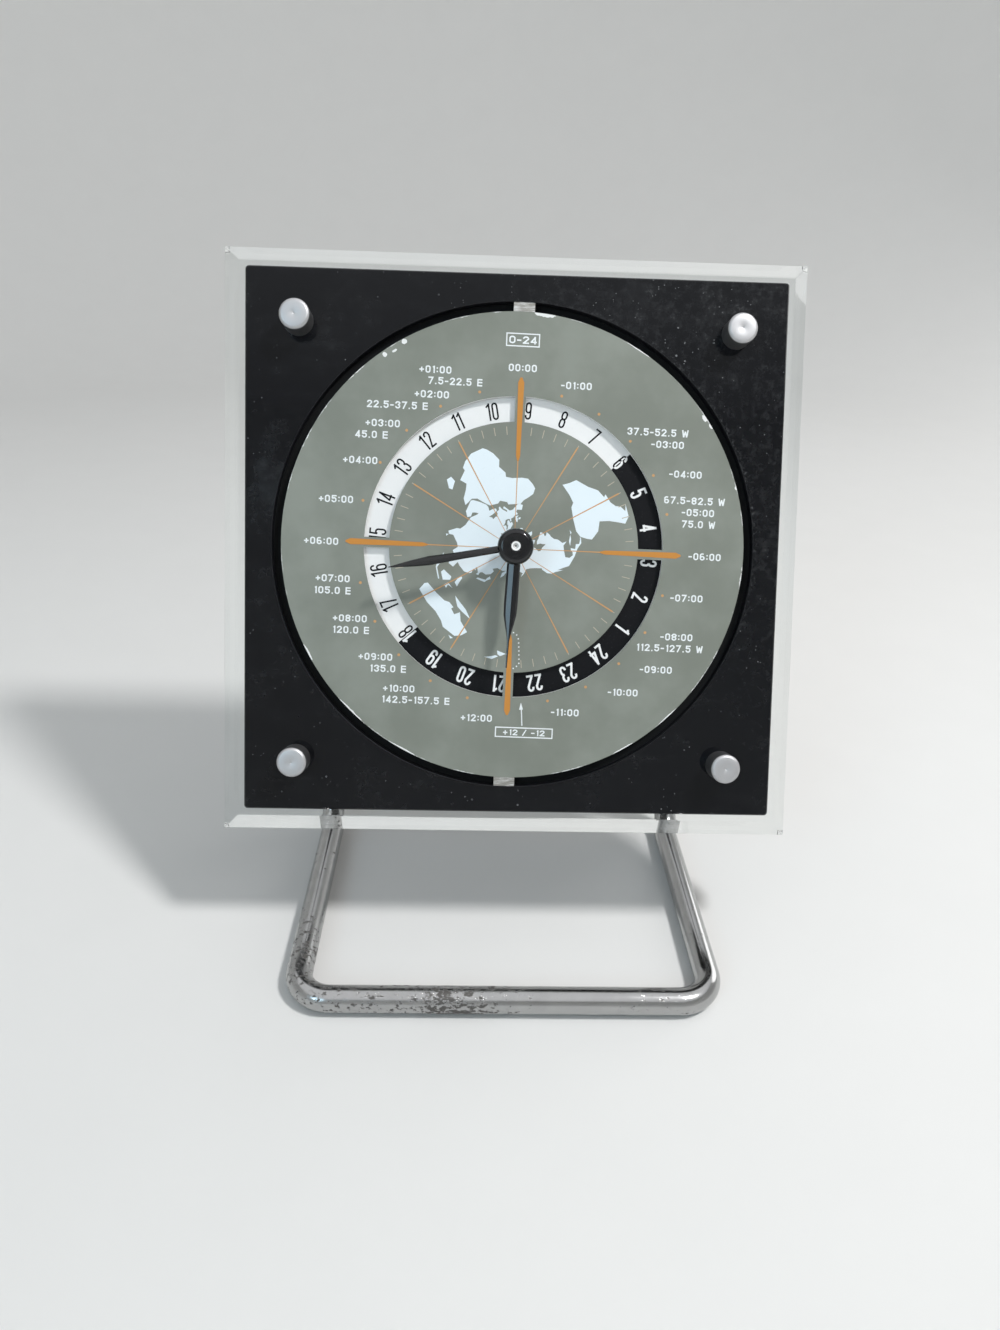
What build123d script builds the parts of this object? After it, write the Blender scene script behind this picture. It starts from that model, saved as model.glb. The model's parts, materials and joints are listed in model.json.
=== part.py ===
from build123d import *
import math
import os

# World time clock on a bent wire stand. Millimetres, +Z up, front towards -Y.
# The head is drawn upright round the centre of its dial, with y = 0 on the black panel's front face and
# y growing towards the back, and is then tipped back and lifted onto the stand.

# Head and its place
tilt = 23.4
dial_height = 92.2
bar_ahead = 47.4

# Dial
dial_r = 52.0
dial_thick = 0.8
dial_sink = 0.2
dial_turn = 1.2
dial_gap = 2.4
tab_width = 4.7
window_outer_r = 33.6
window_width = 5.6
bridge_width = 2.25

# Black front panel, round the dial's hole
panel_rim = 5.6
panel_thick = 2.5
panel_corner_r = 0.8

# Clear back plate with a bevelled front edge
clear_border = 6.0
clear_thick = 10.0
bevel_side = 4.0
bevel_depth = 3.5

# Corner studs and their screws
stud_inset = 11.65
stud_r = 3.3
stud_height = 5.6
stud_chamfer = 0.5
shank_r = 2.0
stud_thread_r = 1.25
stud_thread_depth = 8.0
thread_end_gap = 1.0

# Day ring behind the window
ring_margin = 2.4
ring_thick = 0.8
ring_gap = 0.4

# Hands and hub
hour_hand_lift = 4.2
hour_hand_length = 20.0
hour_hand_width = 3.3
hour_hand_root = 2.8
hour_hand_widest_at = 14.0
hour_hand_needle = 6.6
hour_hand_angle = 183.0
hand_gap = 1.4
minute_hand_length = 27.5
minute_hand_width = 1.75
minute_hand_root = 1.2
minute_hand_widest_at = 20.0
minute_hand_angle = 259.5
hand_thick = 0.6
needle_width = 0.5
needle_tip = 0.25
collet_r = 2.8
collet_depth = 0.8
tube_proud = 0.2
cap_r = 3.55
cap_height = 1.9
cap_edge_r = 1.1
arbor_r = 1.2
arbor_hole_r = 0.6
arbor_hole_depth = 2.0
arbor_proud = 0.3

# Dial carrier and back frame
carrier_wall = 5.0
carrier_floor = 2.0
seat_width = 3.0
floor_behind_dial = 3.0
step_behind_dial = 1.2
opening_margin = 6.0
frame_inset = 4.0
frame_thick = 2.0
frame_corner_r = 3.2

# Movement shell
shell_wall = 1.5
shell_back_room = 2.5
coil_room = 1.5
bay_drop = 11.9
bush_r = 2.9
tube_r = 1.75
pivot_r = 0.5
pivot_depth = 1.0
stem_r = 0.8

# Train: hand side
hand_module = 0.5
cannon_teeth = 10
minute_teeth = 30
minute_pinion_teeth = 8
hour_teeth = 32
hour_pinion_teeth = 15
idler_teeth = 20
idler_pinion_teeth = 14
day_teeth = 21
gear_width = 1.0
pinion_extra = 0.2
layer_step = 0.5
minute_wheel_angle = 180.0
idler_angle = 90.0

# Train: going side
going_module = 0.26
going_pinion_teeth = 8
centre_teeth = 64
third_teeth = 60
seconds_teeth = 48
step_teeth = 40
third_angle = 0.0
seconds_angle = 60.0
step_angle = 120.0
rotor_angle = 180.0
rotor_r = 3.0
rotor_length = 2.4
rotor_gap = 0.5

# Tooth shape, as shares of the module and of the circular pitch
addendum = 0.85
dedendum = 1.15
tip_half = 0.08
root_half = 0.30

# Motor and electronics
stator_thick = 1.2
stator_width = 9.0
stator_arm = 3.0
stator_neck = 4.0
stator_post_gap = 11.0
coil_r = 3.6
coil_length = 16.0
core_r = 1.2
flange_thick = 1.0
flange_lip = 0.5
board_thick = 1.0
board_width = 7.0
board_height = 16.0
board_gap = 1.4
crystal_r = 1.0
crystal_length = 6.0
post_r = 1.6
boss_r = 2.6
boss_sink = 0.5

# Cell, contacts, hatch and door
cell_r = 7.1
cell_length = 49.2
cell_nub_r = 2.7
cell_nub_length = 1.3
contact_thick = 0.5
contact_width = 9.0
contact_room = 2.6
hatch_end_gap = 2.4
hatch_side_gap = 1.4
door_margin = 2.5
door_thick = 1.4
door_pin_r = 0.4
door_pin_reach = 0.9
door_grip_ribs = 4
door_grip_pitch = 1.6
door_grip_rib = 0.8
door_grip_width = 14.0
door_grip_proud = 0.5

# Rear case
case_wall = 2.0
case_side_room = 2.0
case_back_room = 2.3
case_corner_r = 4.0
pillar_r = 3.2
pillar_clear = 3.3

# Setting knob
knob_r = 8.0
knob_thick = 5.5
knob_chamfer = 0.6
knob_lobes = 24
knob_lobe_r = 0.6
knob_stem_r = 2.2

# Wire stand and its sockets
rod_r = 3.0
bend_r = 8.0
leg_gap = 1.2
socket_r = 6.0
socket_proud = 3.8
wire_end_gap = 0.8
grub_r = 1.3

# Screws
screw_r = 1.1
screw_head_r = 2.2
screw_head_thick = 1.2
screw_slot_width = 0.6
screw_slot_depth = 0.5
screw_grip = 5.0

# Clearances, and how far a cut runs past the face it goes through
running = 0.05
slip = 0.1
loose = 0.3
overcut = 1.0


def out_from(centre, distance, degrees):
    """A point at a distance and an angle from another, in the dial's plane."""
    turn = math.radians(degrees)
    return (centre[0] + distance * math.cos(turn), centre[1] + distance * math.sin(turn))


def mesh_distance(teeth_a, teeth_b, module):
    return (teeth_a + teeth_b) * module / 2


def corners(half_x, half_z):
    return [(sx * half_x, sz * half_z) for sx in (-1, 1) for sz in (-1, 1)]


# Front plates, sized outwards from the dial
hole_r = dial_r + dial_gap
tab_reach = dial_gap - loose
window_inner_r = window_outer_r - window_width
panel_size = 2 * (hole_r + panel_rim)
clear_size = panel_size + 2 * clear_border
stud_at = corners(panel_size / 2 - stud_inset, panel_size / 2 - stud_inset)
carrier_r = hole_r - loose
carrier_opening_r = window_inner_r - opening_margin
carrier_screw_at = [out_from((0.0, 0.0), carrier_r - carrier_wall / 2, 90.0 * k) for k in range(4)]
frame_size = panel_size - 2 * frame_inset

# Levels from front to back
dial_front = dial_sink
dial_back = dial_front + dial_thick
ring_front = dial_back + ring_gap
ring_back = ring_front + ring_thick
floor_front = dial_back + floor_behind_dial
floor_back = floor_front + carrier_floor
clear_front = panel_thick
clear_back = clear_front + clear_thick
frame_back = clear_back + frame_thick
shell_front = floor_back
shell_inner = shell_front + shell_wall
hour_hand_front = dial_front - hour_hand_lift - hand_thick
hour_tube_front = hour_hand_front - tube_proud
minute_hand_front = hour_hand_front - hand_gap - hand_thick
cap_front = minute_hand_front - cap_height

# Toothed layers of the hand side
day_layer = (ring_back, ring_back + gear_width + pinion_extra)
idler_pinion_layer = (ring_back + loose, floor_front + loose)
hour_pinion_layer = (shell_inner + layer_step, shell_inner + layer_step + gear_width + pinion_extra)
hour_layer = (hour_pinion_layer[1] + layer_step, hour_pinion_layer[1] + layer_step + gear_width)
minute_layer = (hour_layer[1] + layer_step, hour_layer[1] + layer_step + gear_width)

# Toothed layers of the going side
centre_layer = (minute_layer[1] + 2 * layer_step, minute_layer[1] + 2 * layer_step + gear_width)
third_layer = (centre_layer[1] + layer_step, centre_layer[1] + layer_step + gear_width)
seconds_layer = (third_layer[1] + layer_step, third_layer[1] + layer_step + gear_width)
step_layer = (seconds_layer[1] + layer_step, seconds_layer[1] + layer_step + gear_width)

# Arbors, as (x, z) from the dial's centre
centre_at = (0.0, 0.0)
minute_at = out_from(centre_at, mesh_distance(cannon_teeth, minute_teeth, hand_module), minute_wheel_angle)
idler_at = out_from(centre_at, mesh_distance(hour_pinion_teeth, idler_teeth, hand_module), idler_angle)
third_at = out_from(centre_at, mesh_distance(centre_teeth, going_pinion_teeth, going_module), third_angle)
seconds_at = out_from(third_at, mesh_distance(third_teeth, going_pinion_teeth, going_module), seconds_angle)
step_at = out_from(seconds_at, mesh_distance(seconds_teeth, going_pinion_teeth, going_module), step_angle)
rotor_at = out_from(step_at, mesh_distance(step_teeth, going_pinion_teeth, going_module), rotor_angle)

# Motor, level with the third wheel
stator_middle = third_layer[0]
stator_low = rotor_at[1] - stator_width / 2
stator_high = rotor_at[1] + stator_width / 2
flange_r = coil_r + flange_lip
coil_at = (rotor_at[0] - stator_neck - stator_arm - coil_length / 2, stator_high + flange_r + loose)
coil_left = coil_at[0] - coil_length / 2
coil_right = coil_at[0] + coil_length / 2
stator_left = coil_left - stator_arm
first_post_at = (stator_left + post_r, stator_low + post_r)
stator_post_at = [first_post_at, (first_post_at[0] + stator_post_gap, first_post_at[1])]

# Cell bay, and the shell round the cell and the motor
bay_wall = -bay_drop - shell_wall
cell_z = bay_wall - loose - cell_r
cell_y = shell_inner + cell_r + loose
shell_back = max(step_layer[1], cell_y + cell_r) + shell_back_room
plate_back = shell_back + shell_wall
shell_half = cell_length / 2 + cell_nub_length + contact_room + shell_wall
shell_low = cell_z - cell_r - 2 * loose - shell_wall
shell_top = coil_at[1] + flange_r + coil_room + shell_wall
boss_x = shell_half - shell_wall - boss_r + boss_sink
boss_top = shell_top - shell_wall - boss_r + boss_sink
boss_low = bay_wall + shell_wall + boss_r - boss_sink
movement_screw_at = [(side * boss_x, z) for side in (-1, 1) for z in (boss_low, boss_top)]
back_screw_at = [(-boss_x, boss_top), (boss_x, boss_top), (boss_x, boss_low)]
board_front = seconds_layer[0]
board_at = (-shell_half + shell_wall + board_width / 2 + loose, -bay_drop + board_gap + board_height / 2)
board_post_at = [(board_at[0], board_at[1] + side * (board_height / 2 - post_r)) for side in (-1, 1)]

# Rear case round the shell, with its hatch behind the cell
case_back = plate_back + screw_head_thick + case_back_room + case_wall
case_half_width = shell_half + case_side_room + case_wall
case_half_height = max(shell_top, -shell_low) + pillar_clear + 2 * pillar_r + loose + case_wall
pillar_gap = case_wall + pillar_r + loose
pillar_at = corners(case_half_width - pillar_gap, case_half_height - pillar_gap)
knob_front = case_back + loose
hatch_width = cell_length + 2 * hatch_end_gap
hatch_height = 2 * (cell_r + hatch_side_gap)
door_half = hatch_width / 2 + door_margin
door_top = cell_z + hatch_height / 2 + door_margin
door_low = cell_z - hatch_height / 2 - door_margin
door_hinge_at = (case_back - door_thick / 2, door_low + door_thick / 2)

# The stand's sockets are level with the dial's centre, in the middle of the rear case's depth
socket_y = (frame_back + case_back) / 2
socket_face = case_half_width + socket_proud
grub_x = case_half_width + socket_proud / 2
leg_x = socket_face + bend_r + leg_gap
wire_end_x = shell_half + wire_end_gap
tilt_rad = math.radians(tilt)
riser_back = socket_y * math.cos(tilt_rad)
riser_top = dial_height - socket_y * math.sin(tilt_rad)
case_top_back = case_back * math.cos(tilt_rad) + case_half_height * math.sin(tilt_rad)
front_reach = bar_ahead + rod_r
head_y = (front_reach - case_top_back) / 2
head_place = Location((0, head_y, dial_height), (-tilt, 0, 0))


def rod(r, y0, y1, at=(0.0, 0.0)):
    """A round bar along the head's depth."""
    return Pos(at[0], (y0 + y1) / 2, at[1]) * Rot(90, 0, 0) * Cylinder(r, y1 - y0)


def bore(r, y0, y1, at=(0.0, 0.0)):
    """A round hole along the depth that runs out past both faces."""
    return rod(r, y0 - overcut, y1 + overcut, at)


def tube(r_out, r_in, y0, y1):
    return rod(r_out, y0, y1) - bore(r_in, y0, y1)


def block(x0, x1, y0, y1, z0, z1):
    middle = ((x0 + x1) / 2, (y0 + y1) / 2, (z0 + z1) / 2)
    return Pos(*middle) * Box(x1 - x0, y1 - y0, z1 - z0)


def cross_bar(r, x0, x1, y, z):
    """A round bar from left to right."""
    return Pos((x0 + x1) / 2, y, z) * Rot(0, 90, 0) * Cylinder(r, x1 - x0)


def slab(width, height, y0, y1, at=(0.0, 0.0)):
    return block(at[0] - width / 2, at[0] + width / 2, y0, y1, at[1] - height / 2, at[1] + height / 2)


def prism(points, y0, y1):
    """A flat outline of (x, z) points, given a thickness along the depth."""
    wire = Wire.make_polygon([Vector(x, y1, z) for x, z in points], close=True)
    return Solid.extrude(Face(wire), Vector(0, y0 - y1, 0))


def toothed(teeth, module, layer, at, tooth_towards):
    """A spur gear with straight-sided teeth, one of them pointing at an angle in degrees."""
    pitch_r = teeth * module / 2
    root_r = pitch_r - dedendum * module
    tip_r = pitch_r + addendum * module
    arc = math.pi * module / pitch_r
    flank = ((root_r, -root_half), (tip_r, -tip_half), (tip_r, tip_half), (root_r, root_half))
    points = []
    for index in range(teeth):
        middle = tooth_towards + 360.0 * index / teeth
        points += [out_from(at, radius, middle + math.degrees(half * arc)) for radius, half in flank]
    return prism(points, *layer)


def gap_towards(degrees, teeth):
    """The tooth angle that leaves a gap pointing at the given angle."""
    return degrees + 180.0 / teeth


def widened(layer):
    """A pinion is a little wider than the wheel it drives."""
    return (layer[0] - pinion_extra, layer[1] + pinion_extra)


def stem_with_pivots(at, r):
    """An arbor that runs from the shell's front wall to its back plate on two thin pivots."""
    body = rod(r, shell_inner + loose, shell_back - loose, at)
    return body + rod(pivot_r, shell_inner - pivot_depth + loose, shell_back + pivot_depth - loose, at)


def screw(at, seat, tip, r):
    """A slotted screw driven along the depth from its seat to its tip."""
    towards = 1 if tip > seat else -1
    top = seat - towards * screw_head_thick
    slot_floor = top + towards * screw_slot_depth
    body = rod(screw_head_r, min(top, seat), max(top, seat), at)
    body += rod(r, min(seat, tip), max(seat, tip), at)
    slot_length = 2 * (screw_head_r + overcut)
    return body - slab(slot_length, screw_slot_width, min(top, slot_floor), max(top, slot_floor), at)


def clear_plate():
    bevel_back = clear_front + bevel_depth
    edge = Rectangle(clear_size, clear_size)
    face = Rectangle(clear_size - 2 * bevel_side, clear_size - 2 * bevel_side)
    back_plane = Plane((0, bevel_back, 0), x_dir=(1, 0, 0), z_dir=(0, -1, 0))
    front_plane = Plane((0, clear_front, 0), x_dir=(1, 0, 0), z_dir=(0, -1, 0))
    plate = slab(clear_size, clear_size, bevel_back, clear_back)
    plate += loft([back_plane * edge, front_plane * face])
    plate -= bore(hole_r, clear_front, clear_back)
    for at in stud_at:
        plate -= bore(shank_r + slip, clear_front, clear_back, at)
    return plate


def black_panel():
    panel = slab(panel_size, panel_size, 0, panel_thick)
    panel = fillet(panel.edges().filter_by(Axis.Y), panel_corner_r)
    panel -= bore(hole_r, 0, panel_thick)
    for at in stud_at:
        panel -= bore(shank_r + slip, 0, panel_thick, at)
    return panel


def corner_studs():
    studs = []
    for at in stud_at:
        head = rod(stud_r, -stud_height, 0, at)
        head = chamfer(head.edges().group_by(Axis.Y)[0], stud_chamfer)
        stud = head + rod(shank_r, 0, clear_back, at)
        studs.append(stud - rod(stud_thread_r, clear_back - stud_thread_depth, clear_back + overcut, at))
    return studs


def stud_screws():
    tip = clear_back - stud_thread_depth + thread_end_gap
    return [screw(at, frame_back, tip, stud_thread_r - running) for at in stud_at]


def dial():
    tab_end = dial_r + tab_reach
    disc = rod(dial_r, dial_front, dial_back)
    disc += slab(tab_width, 2 * tab_end, dial_front, dial_back)
    window = tube(window_outer_r, window_inner_r, dial_front - overcut, dial_back + overcut)
    window -= slab(bridge_width, 2 * dial_r, dial_front - overcut, dial_back + overcut)
    window -= slab(2 * dial_r, bridge_width, dial_front - overcut, dial_back + overcut)
    disc -= window
    disc -= bore(bush_r + loose, dial_front, dial_back)
    return Rot(0, dial_turn, 0) * disc


def day_ring():
    return tube(window_outer_r + ring_margin, bush_r + loose, ring_front, ring_back)


def day_wheel():
    wheel = toothed(day_teeth, hand_module, day_layer, centre_at, gap_towards(idler_angle, day_teeth))
    return wheel - bore(bush_r + running, *day_layer)


def day_idler():
    wheel_gap = gap_towards(idler_angle + 180, idler_teeth)
    idler = toothed(idler_teeth, hand_module, hour_pinion_layer, idler_at, wheel_gap)
    idler += toothed(idler_pinion_teeth, hand_module, idler_pinion_layer, idler_at, idler_angle + 180)
    return idler + rod(stem_r, idler_pinion_layer[0], hour_pinion_layer[1], idler_at)


def hour_wheel():
    wheel_gap = gap_towards(minute_wheel_angle, hour_teeth)
    wheel = toothed(hour_teeth, hand_module, hour_layer, centre_at, wheel_gap)
    wheel += toothed(hour_pinion_teeth, hand_module, hour_pinion_layer, centre_at, idler_angle)
    wheel += rod(tube_r, hour_tube_front, hour_layer[1])
    return wheel - bore(arbor_r + running, hour_tube_front, hour_layer[1])


def cannon_arbor():
    front = cap_front - arbor_proud
    arbor = toothed(cannon_teeth, hand_module, widened(minute_layer), centre_at, minute_wheel_angle)
    arbor += rod(arbor_r, front, centre_layer[1] + loose)
    arbor += rod(stem_r, centre_layer[1], shell_back + pivot_depth)
    return arbor - rod(arbor_hole_r, front - overcut, front + arbor_hole_depth)


def minute_wheel():
    gap_angle = minute_wheel_angle + 180
    wheel = toothed(minute_teeth, hand_module, minute_layer, minute_at, gap_towards(gap_angle, minute_teeth))
    wheel += toothed(minute_pinion_teeth, hand_module, widened(hour_layer), minute_at, gap_angle)
    wheel += rod(stem_r, shell_inner + loose, knob_front + knob_thick / 2, minute_at)
    return wheel + rod(pivot_r, shell_inner - pivot_depth + loose, shell_inner + loose, minute_at)


def setting_knob():
    knob_back = knob_front + knob_thick
    knob = rod(knob_r, knob_front, knob_back, minute_at)
    knob = chamfer(knob.edges().group_by(Axis.Y)[-1], knob_chamfer)
    for index in range(knob_lobes):
        lobe_at = out_from(minute_at, knob_r, 360.0 * index / knob_lobes)
        knob -= bore(knob_lobe_r, knob_front, knob_back, lobe_at)
    knob += rod(knob_stem_r, plate_back + loose, knob_front, minute_at)
    return knob - rod(stem_r + slip, plate_back - overcut, knob_front + knob_thick / 2, minute_at)


def going_wheel(at, teeth, layer, pinion_layer, driver_angle, driven_angle):
    """A wheel with a gap at its driver's angle, and its pinion with a tooth at the driven wheel's angle."""
    wheel = toothed(teeth, going_module, layer, at, gap_towards(driver_angle, teeth))
    wheel += toothed(going_pinion_teeth, going_module, widened(pinion_layer), at, driven_angle)
    return wheel + stem_with_pivots(at, stem_r)


def centre_wheel():
    wheel_gap = gap_towards(third_angle, centre_teeth)
    wheel = toothed(centre_teeth, going_module, centre_layer, centre_at, wheel_gap)
    return wheel - bore(arbor_r + running, *centre_layer)


def third_wheel():
    return going_wheel(third_at, third_teeth, third_layer, centre_layer, seconds_angle, third_angle + 180)


def seconds_wheel():
    return going_wheel(seconds_at, seconds_teeth, seconds_layer, third_layer, step_angle, seconds_angle + 180)


def step_wheel():
    return going_wheel(step_at, step_teeth, step_layer, seconds_layer, rotor_angle, step_angle + 180)


def rotor():
    pinion = toothed(going_pinion_teeth, going_module, widened(step_layer), rotor_at, rotor_angle + 180)
    magnet = rod(rotor_r, stator_middle - rotor_length / 2, stator_middle + rotor_length / 2, rotor_at)
    return pinion + magnet + stem_with_pivots(rotor_at, stem_r)


def stator():
    front = stator_middle - stator_thick / 2
    back = stator_middle + stator_thick / 2
    arm_top = coil_at[1] + core_r
    arm_end = coil_right + stator_arm
    plate = block(stator_left, rotor_at[0] + stator_width / 2, front, back, stator_low, stator_high)
    plate += block(stator_left, coil_left, front, back, stator_low, arm_top)
    plate += block(coil_right, arm_end, front, back, stator_low, arm_top)
    plate -= bore(rotor_r + rotor_gap, front, back, rotor_at)
    return plate + cross_bar(core_r, stator_left, arm_end, stator_middle, coil_at[1])


def coil():
    line = (stator_middle, coil_at[1])
    winding = cross_bar(coil_r, coil_left, coil_right, *line)
    winding += cross_bar(flange_r, coil_left, coil_left + flange_thick, *line)
    winding += cross_bar(flange_r, coil_right - flange_thick, coil_right, *line)
    return winding - cross_bar(core_r + slip, coil_left - overcut, coil_right + overcut, *line)


def circuit_board():
    return slab(board_width, board_height, board_front, board_front + board_thick, board_at)


def quartz_can():
    return Pos(board_at[0], board_front - crystal_r, board_at[1]) * Cylinder(crystal_r, crystal_length)


def battery():
    end = cell_length / 2
    can = cross_bar(cell_r, -end, end, cell_y, cell_z)
    return can + cross_bar(cell_nub_r, end, end + cell_nub_length, cell_y, cell_z)


def contact(x0, x1):
    """A folded strip between the shell's wall and one end of the cell, open at the back and at its sides."""
    y0 = cell_y - contact_width / 2
    y1 = cell_y + contact_width / 2
    z0 = cell_z - contact_width / 2
    z1 = cell_z + contact_width / 2
    fold_x = (x0 + contact_thick, x1 - contact_thick)
    fold = block(*fold_x, y0 + contact_thick, y1 + overcut, z0 - overcut, z1 + overcut)
    return block(x0, x1, y0, y1, z0, z1) - fold


def battery_contacts():
    inside = shell_half - shell_wall
    end = cell_length / 2
    return [contact(-inside, -end), contact(end + cell_nub_length, inside)]


def hand_outline(stations, angle):
    """The outline of a hand from its (distance, width) stations, turned to its clock angle."""
    side = [(width / 2, distance) for distance, width in stations]
    points = side + [(-half, distance) for half, distance in reversed(side)]
    turn = math.radians(angle)
    across = (math.cos(turn), -math.sin(turn))
    along = (math.sin(turn), math.cos(turn))
    return [(w * across[0] + d * along[0], w * across[1] + d * along[1]) for w, d in points]


def hour_hand():
    back = hour_hand_front + hand_thick
    reach = hour_hand_length + hour_hand_needle
    blade = [(0, hour_hand_root), (hour_hand_widest_at, hour_hand_width), (hour_hand_length, needle_width)]
    needle = [(0, needle_width), (hour_hand_length, needle_width), (reach, needle_tip)]
    hand = prism(hand_outline(blade, hour_hand_angle), hour_hand_front, back)
    hand += prism(hand_outline(needle, hour_hand_angle), hour_hand_front, back)
    hand += rod(collet_r, hour_hand_front, back + collet_depth)
    return hand - bore(tube_r + running, hour_hand_front, back + collet_depth)


def minute_hand():
    back = minute_hand_front + hand_thick
    collet_back = back + collet_depth / 2
    widest = (minute_hand_widest_at, minute_hand_width)
    blade = [(0, minute_hand_root), widest, (minute_hand_length, needle_tip)]
    hand = prism(hand_outline(blade, minute_hand_angle), minute_hand_front, back)
    hand += rod(collet_r, minute_hand_front, collet_back)
    return hand - bore(arbor_r + running, minute_hand_front, collet_back)


def hub_cap():
    cap = rod(cap_r, cap_front, minute_hand_front)
    cap = fillet(cap.edges().group_by(Axis.Y)[0], cap_edge_r)
    return cap - bore(arbor_r + running, cap_front, minute_hand_front)


def dial_carrier():
    step = dial_back + step_behind_dial
    inner_r = carrier_r - carrier_wall
    body = rod(carrier_r, step, clear_back)
    body -= rod(inner_r, step - overcut, floor_front)
    body -= rod(inner_r, floor_back, clear_back + overcut)
    body += tube(dial_r - slip, dial_r - seat_width, dial_back, floor_front)
    body -= bore(carrier_opening_r, floor_front, floor_back)
    for at in movement_screw_at:
        body -= bore(screw_r + slip, floor_front, floor_back, at)
    for at in carrier_screw_at:
        body -= rod(screw_r + slip, clear_back - screw_grip - loose, clear_back + overcut, at)
    return body


def back_frame():
    opening = shell_half + loose
    pillar_back = case_back - case_wall
    plate = slab(frame_size, frame_size, clear_back, frame_back)
    plate = fillet(plate.edges().filter_by(Axis.Y), frame_corner_r)
    through = (clear_back - overcut, frame_back + overcut)
    plate -= block(-opening, opening, *through, shell_low - loose, shell_top + loose)
    for at in stud_at:
        plate -= bore(stud_thread_r + slip, clear_back, frame_back, at)
    for at in carrier_screw_at:
        plate -= bore(screw_r + slip, clear_back, frame_back, at)
    for at in pillar_at:
        plate += rod(pillar_r, frame_back, pillar_back, at)
        plate -= rod(screw_r + slip, pillar_back - screw_grip - loose, pillar_back + overcut, at)
    return plate


def movement_front():
    inside = shell_half - shell_wall
    shell = block(-shell_half, shell_half, shell_front, shell_back, shell_low, shell_top)
    depth = (shell_inner, shell_back + overcut)
    shell -= block(-inside, inside, *depth, shell_low + shell_wall, shell_top - shell_wall)
    shell += block(-shell_half, shell_half, shell_inner, shell_back, bay_wall, bay_wall + shell_wall)
    shell += rod(bush_r, dial_front + loose, shell_inner)
    for at in movement_screw_at:
        shell += rod(boss_r, shell_inner, shell_inner + screw_grip + shell_wall, at)
    for at in back_screw_at:
        shell += rod(boss_r, shell_inner, shell_back, at)
        shell -= rod(screw_r + slip, shell_back - screw_grip - loose, shell_back + overcut, at)
    for at in stator_post_at:
        shell += rod(post_r, shell_inner, stator_middle - stator_thick / 2, at)
    for at in board_post_at:
        shell += rod(post_r, shell_inner, board_front, at)
    for at in movement_screw_at:
        shell -= rod(screw_r + slip, shell_front - overcut, shell_inner + screw_grip + loose, at)
    shell -= bore(tube_r + running, dial_front, shell_inner)
    shell -= bore(stem_r + running, shell_front, shell_inner, idler_at)
    for at in (minute_at, third_at, seconds_at, step_at, rotor_at):
        shell -= rod(pivot_r + running, shell_inner - pivot_depth, shell_inner + overcut, at)
    return shell


def movement_back():
    plate = block(-shell_half, shell_half, shell_back, plate_back, bay_wall, shell_top)
    for at in (third_at, seconds_at, step_at, rotor_at):
        plate -= rod(pivot_r + running, shell_back - overcut, shell_back + pivot_depth, at)
    for at in (minute_at, centre_at):
        plate -= bore(stem_r + running, shell_back, plate_back, at)
    for at in back_screw_at:
        plate -= bore(screw_r + slip, shell_back, plate_back, at)
    return plate


def rear_case():
    inner_back = case_back - case_wall
    inner_width = 2 * (case_half_width - case_wall)
    inner_height = 2 * (case_half_height - case_wall)
    case = slab(2 * case_half_width, 2 * case_half_height, frame_back, case_back)
    case = fillet(case.edges().filter_by(Axis.Y), case_corner_r)
    case -= slab(inner_width, inner_height, frame_back - overcut, inner_back)
    for side in (-1, 1):
        ends = sorted((side * (case_half_width - case_wall), side * socket_face))
        case += cross_bar(socket_r, *ends, socket_y, 0)
        case -= cross_bar(rod_r + running, ends[0] - overcut, ends[1] + overcut, socket_y, 0)
        case -= rod(grub_r + running, socket_y, case_back + overcut, (side * grub_x, 0.0))
    case -= bore(knob_stem_r + slip, inner_back, case_back, minute_at)
    for at in pillar_at:
        case -= bore(screw_r + slip, inner_back, case_back, at)
    case -= slab(hatch_width, hatch_height, inner_back - overcut, case_back + overcut, (0, cell_z))
    pocket = door_half + loose
    pocket_depth = (case_back - door_thick - slip, case_back + overcut)
    case -= block(-pocket, pocket, *pocket_depth, door_low - loose, door_top + loose)
    pin_end = door_half + door_pin_reach + loose
    return case - cross_bar(door_pin_r + running, -pin_end, pin_end, *door_hinge_at)


def battery_door():
    pin_end = door_half + door_pin_reach
    door = block(-door_half, door_half, case_back - door_thick, case_back, door_hinge_at[1], door_top)
    door += cross_bar(door_thick / 2, -door_half, door_half, *door_hinge_at)
    door += cross_bar(door_pin_r, -pin_end, pin_end, *door_hinge_at)
    for index in range(door_grip_ribs):
        rib_at = (0, door_top - (index + 1) * door_grip_pitch)
        door += slab(door_grip_width, door_grip_rib, case_back, case_back + door_grip_proud, rib_at)
    return door


def wire_stand():
    front = head_y - bar_ahead
    back = head_y + riser_back
    points = [
        (-wire_end_x, back, riser_top),
        (-leg_x, back, riser_top),
        (-leg_x, back, rod_r),
        (-leg_x, front, rod_r),
        (leg_x, front, rod_r),
        (leg_x, back, rod_r),
        (leg_x, back, riser_top),
        (wire_end_x, back, riser_top),
    ]
    path = FilletPolyline(*points, radius=bend_r)
    return sweep(Plane(path @ 0, z_dir=path % 0) * Circle(rod_r), path)


def stand_screws():
    return [rod(grub_r, socket_y + rod_r, socket_y + socket_r, (side * grub_x, 0.0)) for side in (-1, 1)]


def movement_screws():
    return [screw(at, floor_front, shell_inner + screw_grip, screw_r) for at in movement_screw_at]


def back_screws():
    return [screw(at, plate_back, shell_back - screw_grip, screw_r) for at in back_screw_at]


def carrier_screws():
    return [screw(at, frame_back, clear_back - screw_grip, screw_r) for at in carrier_screw_at]


def case_screws():
    return [screw(at, case_back, case_back - case_wall - screw_grip, screw_r) for at in pillar_at]


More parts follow.
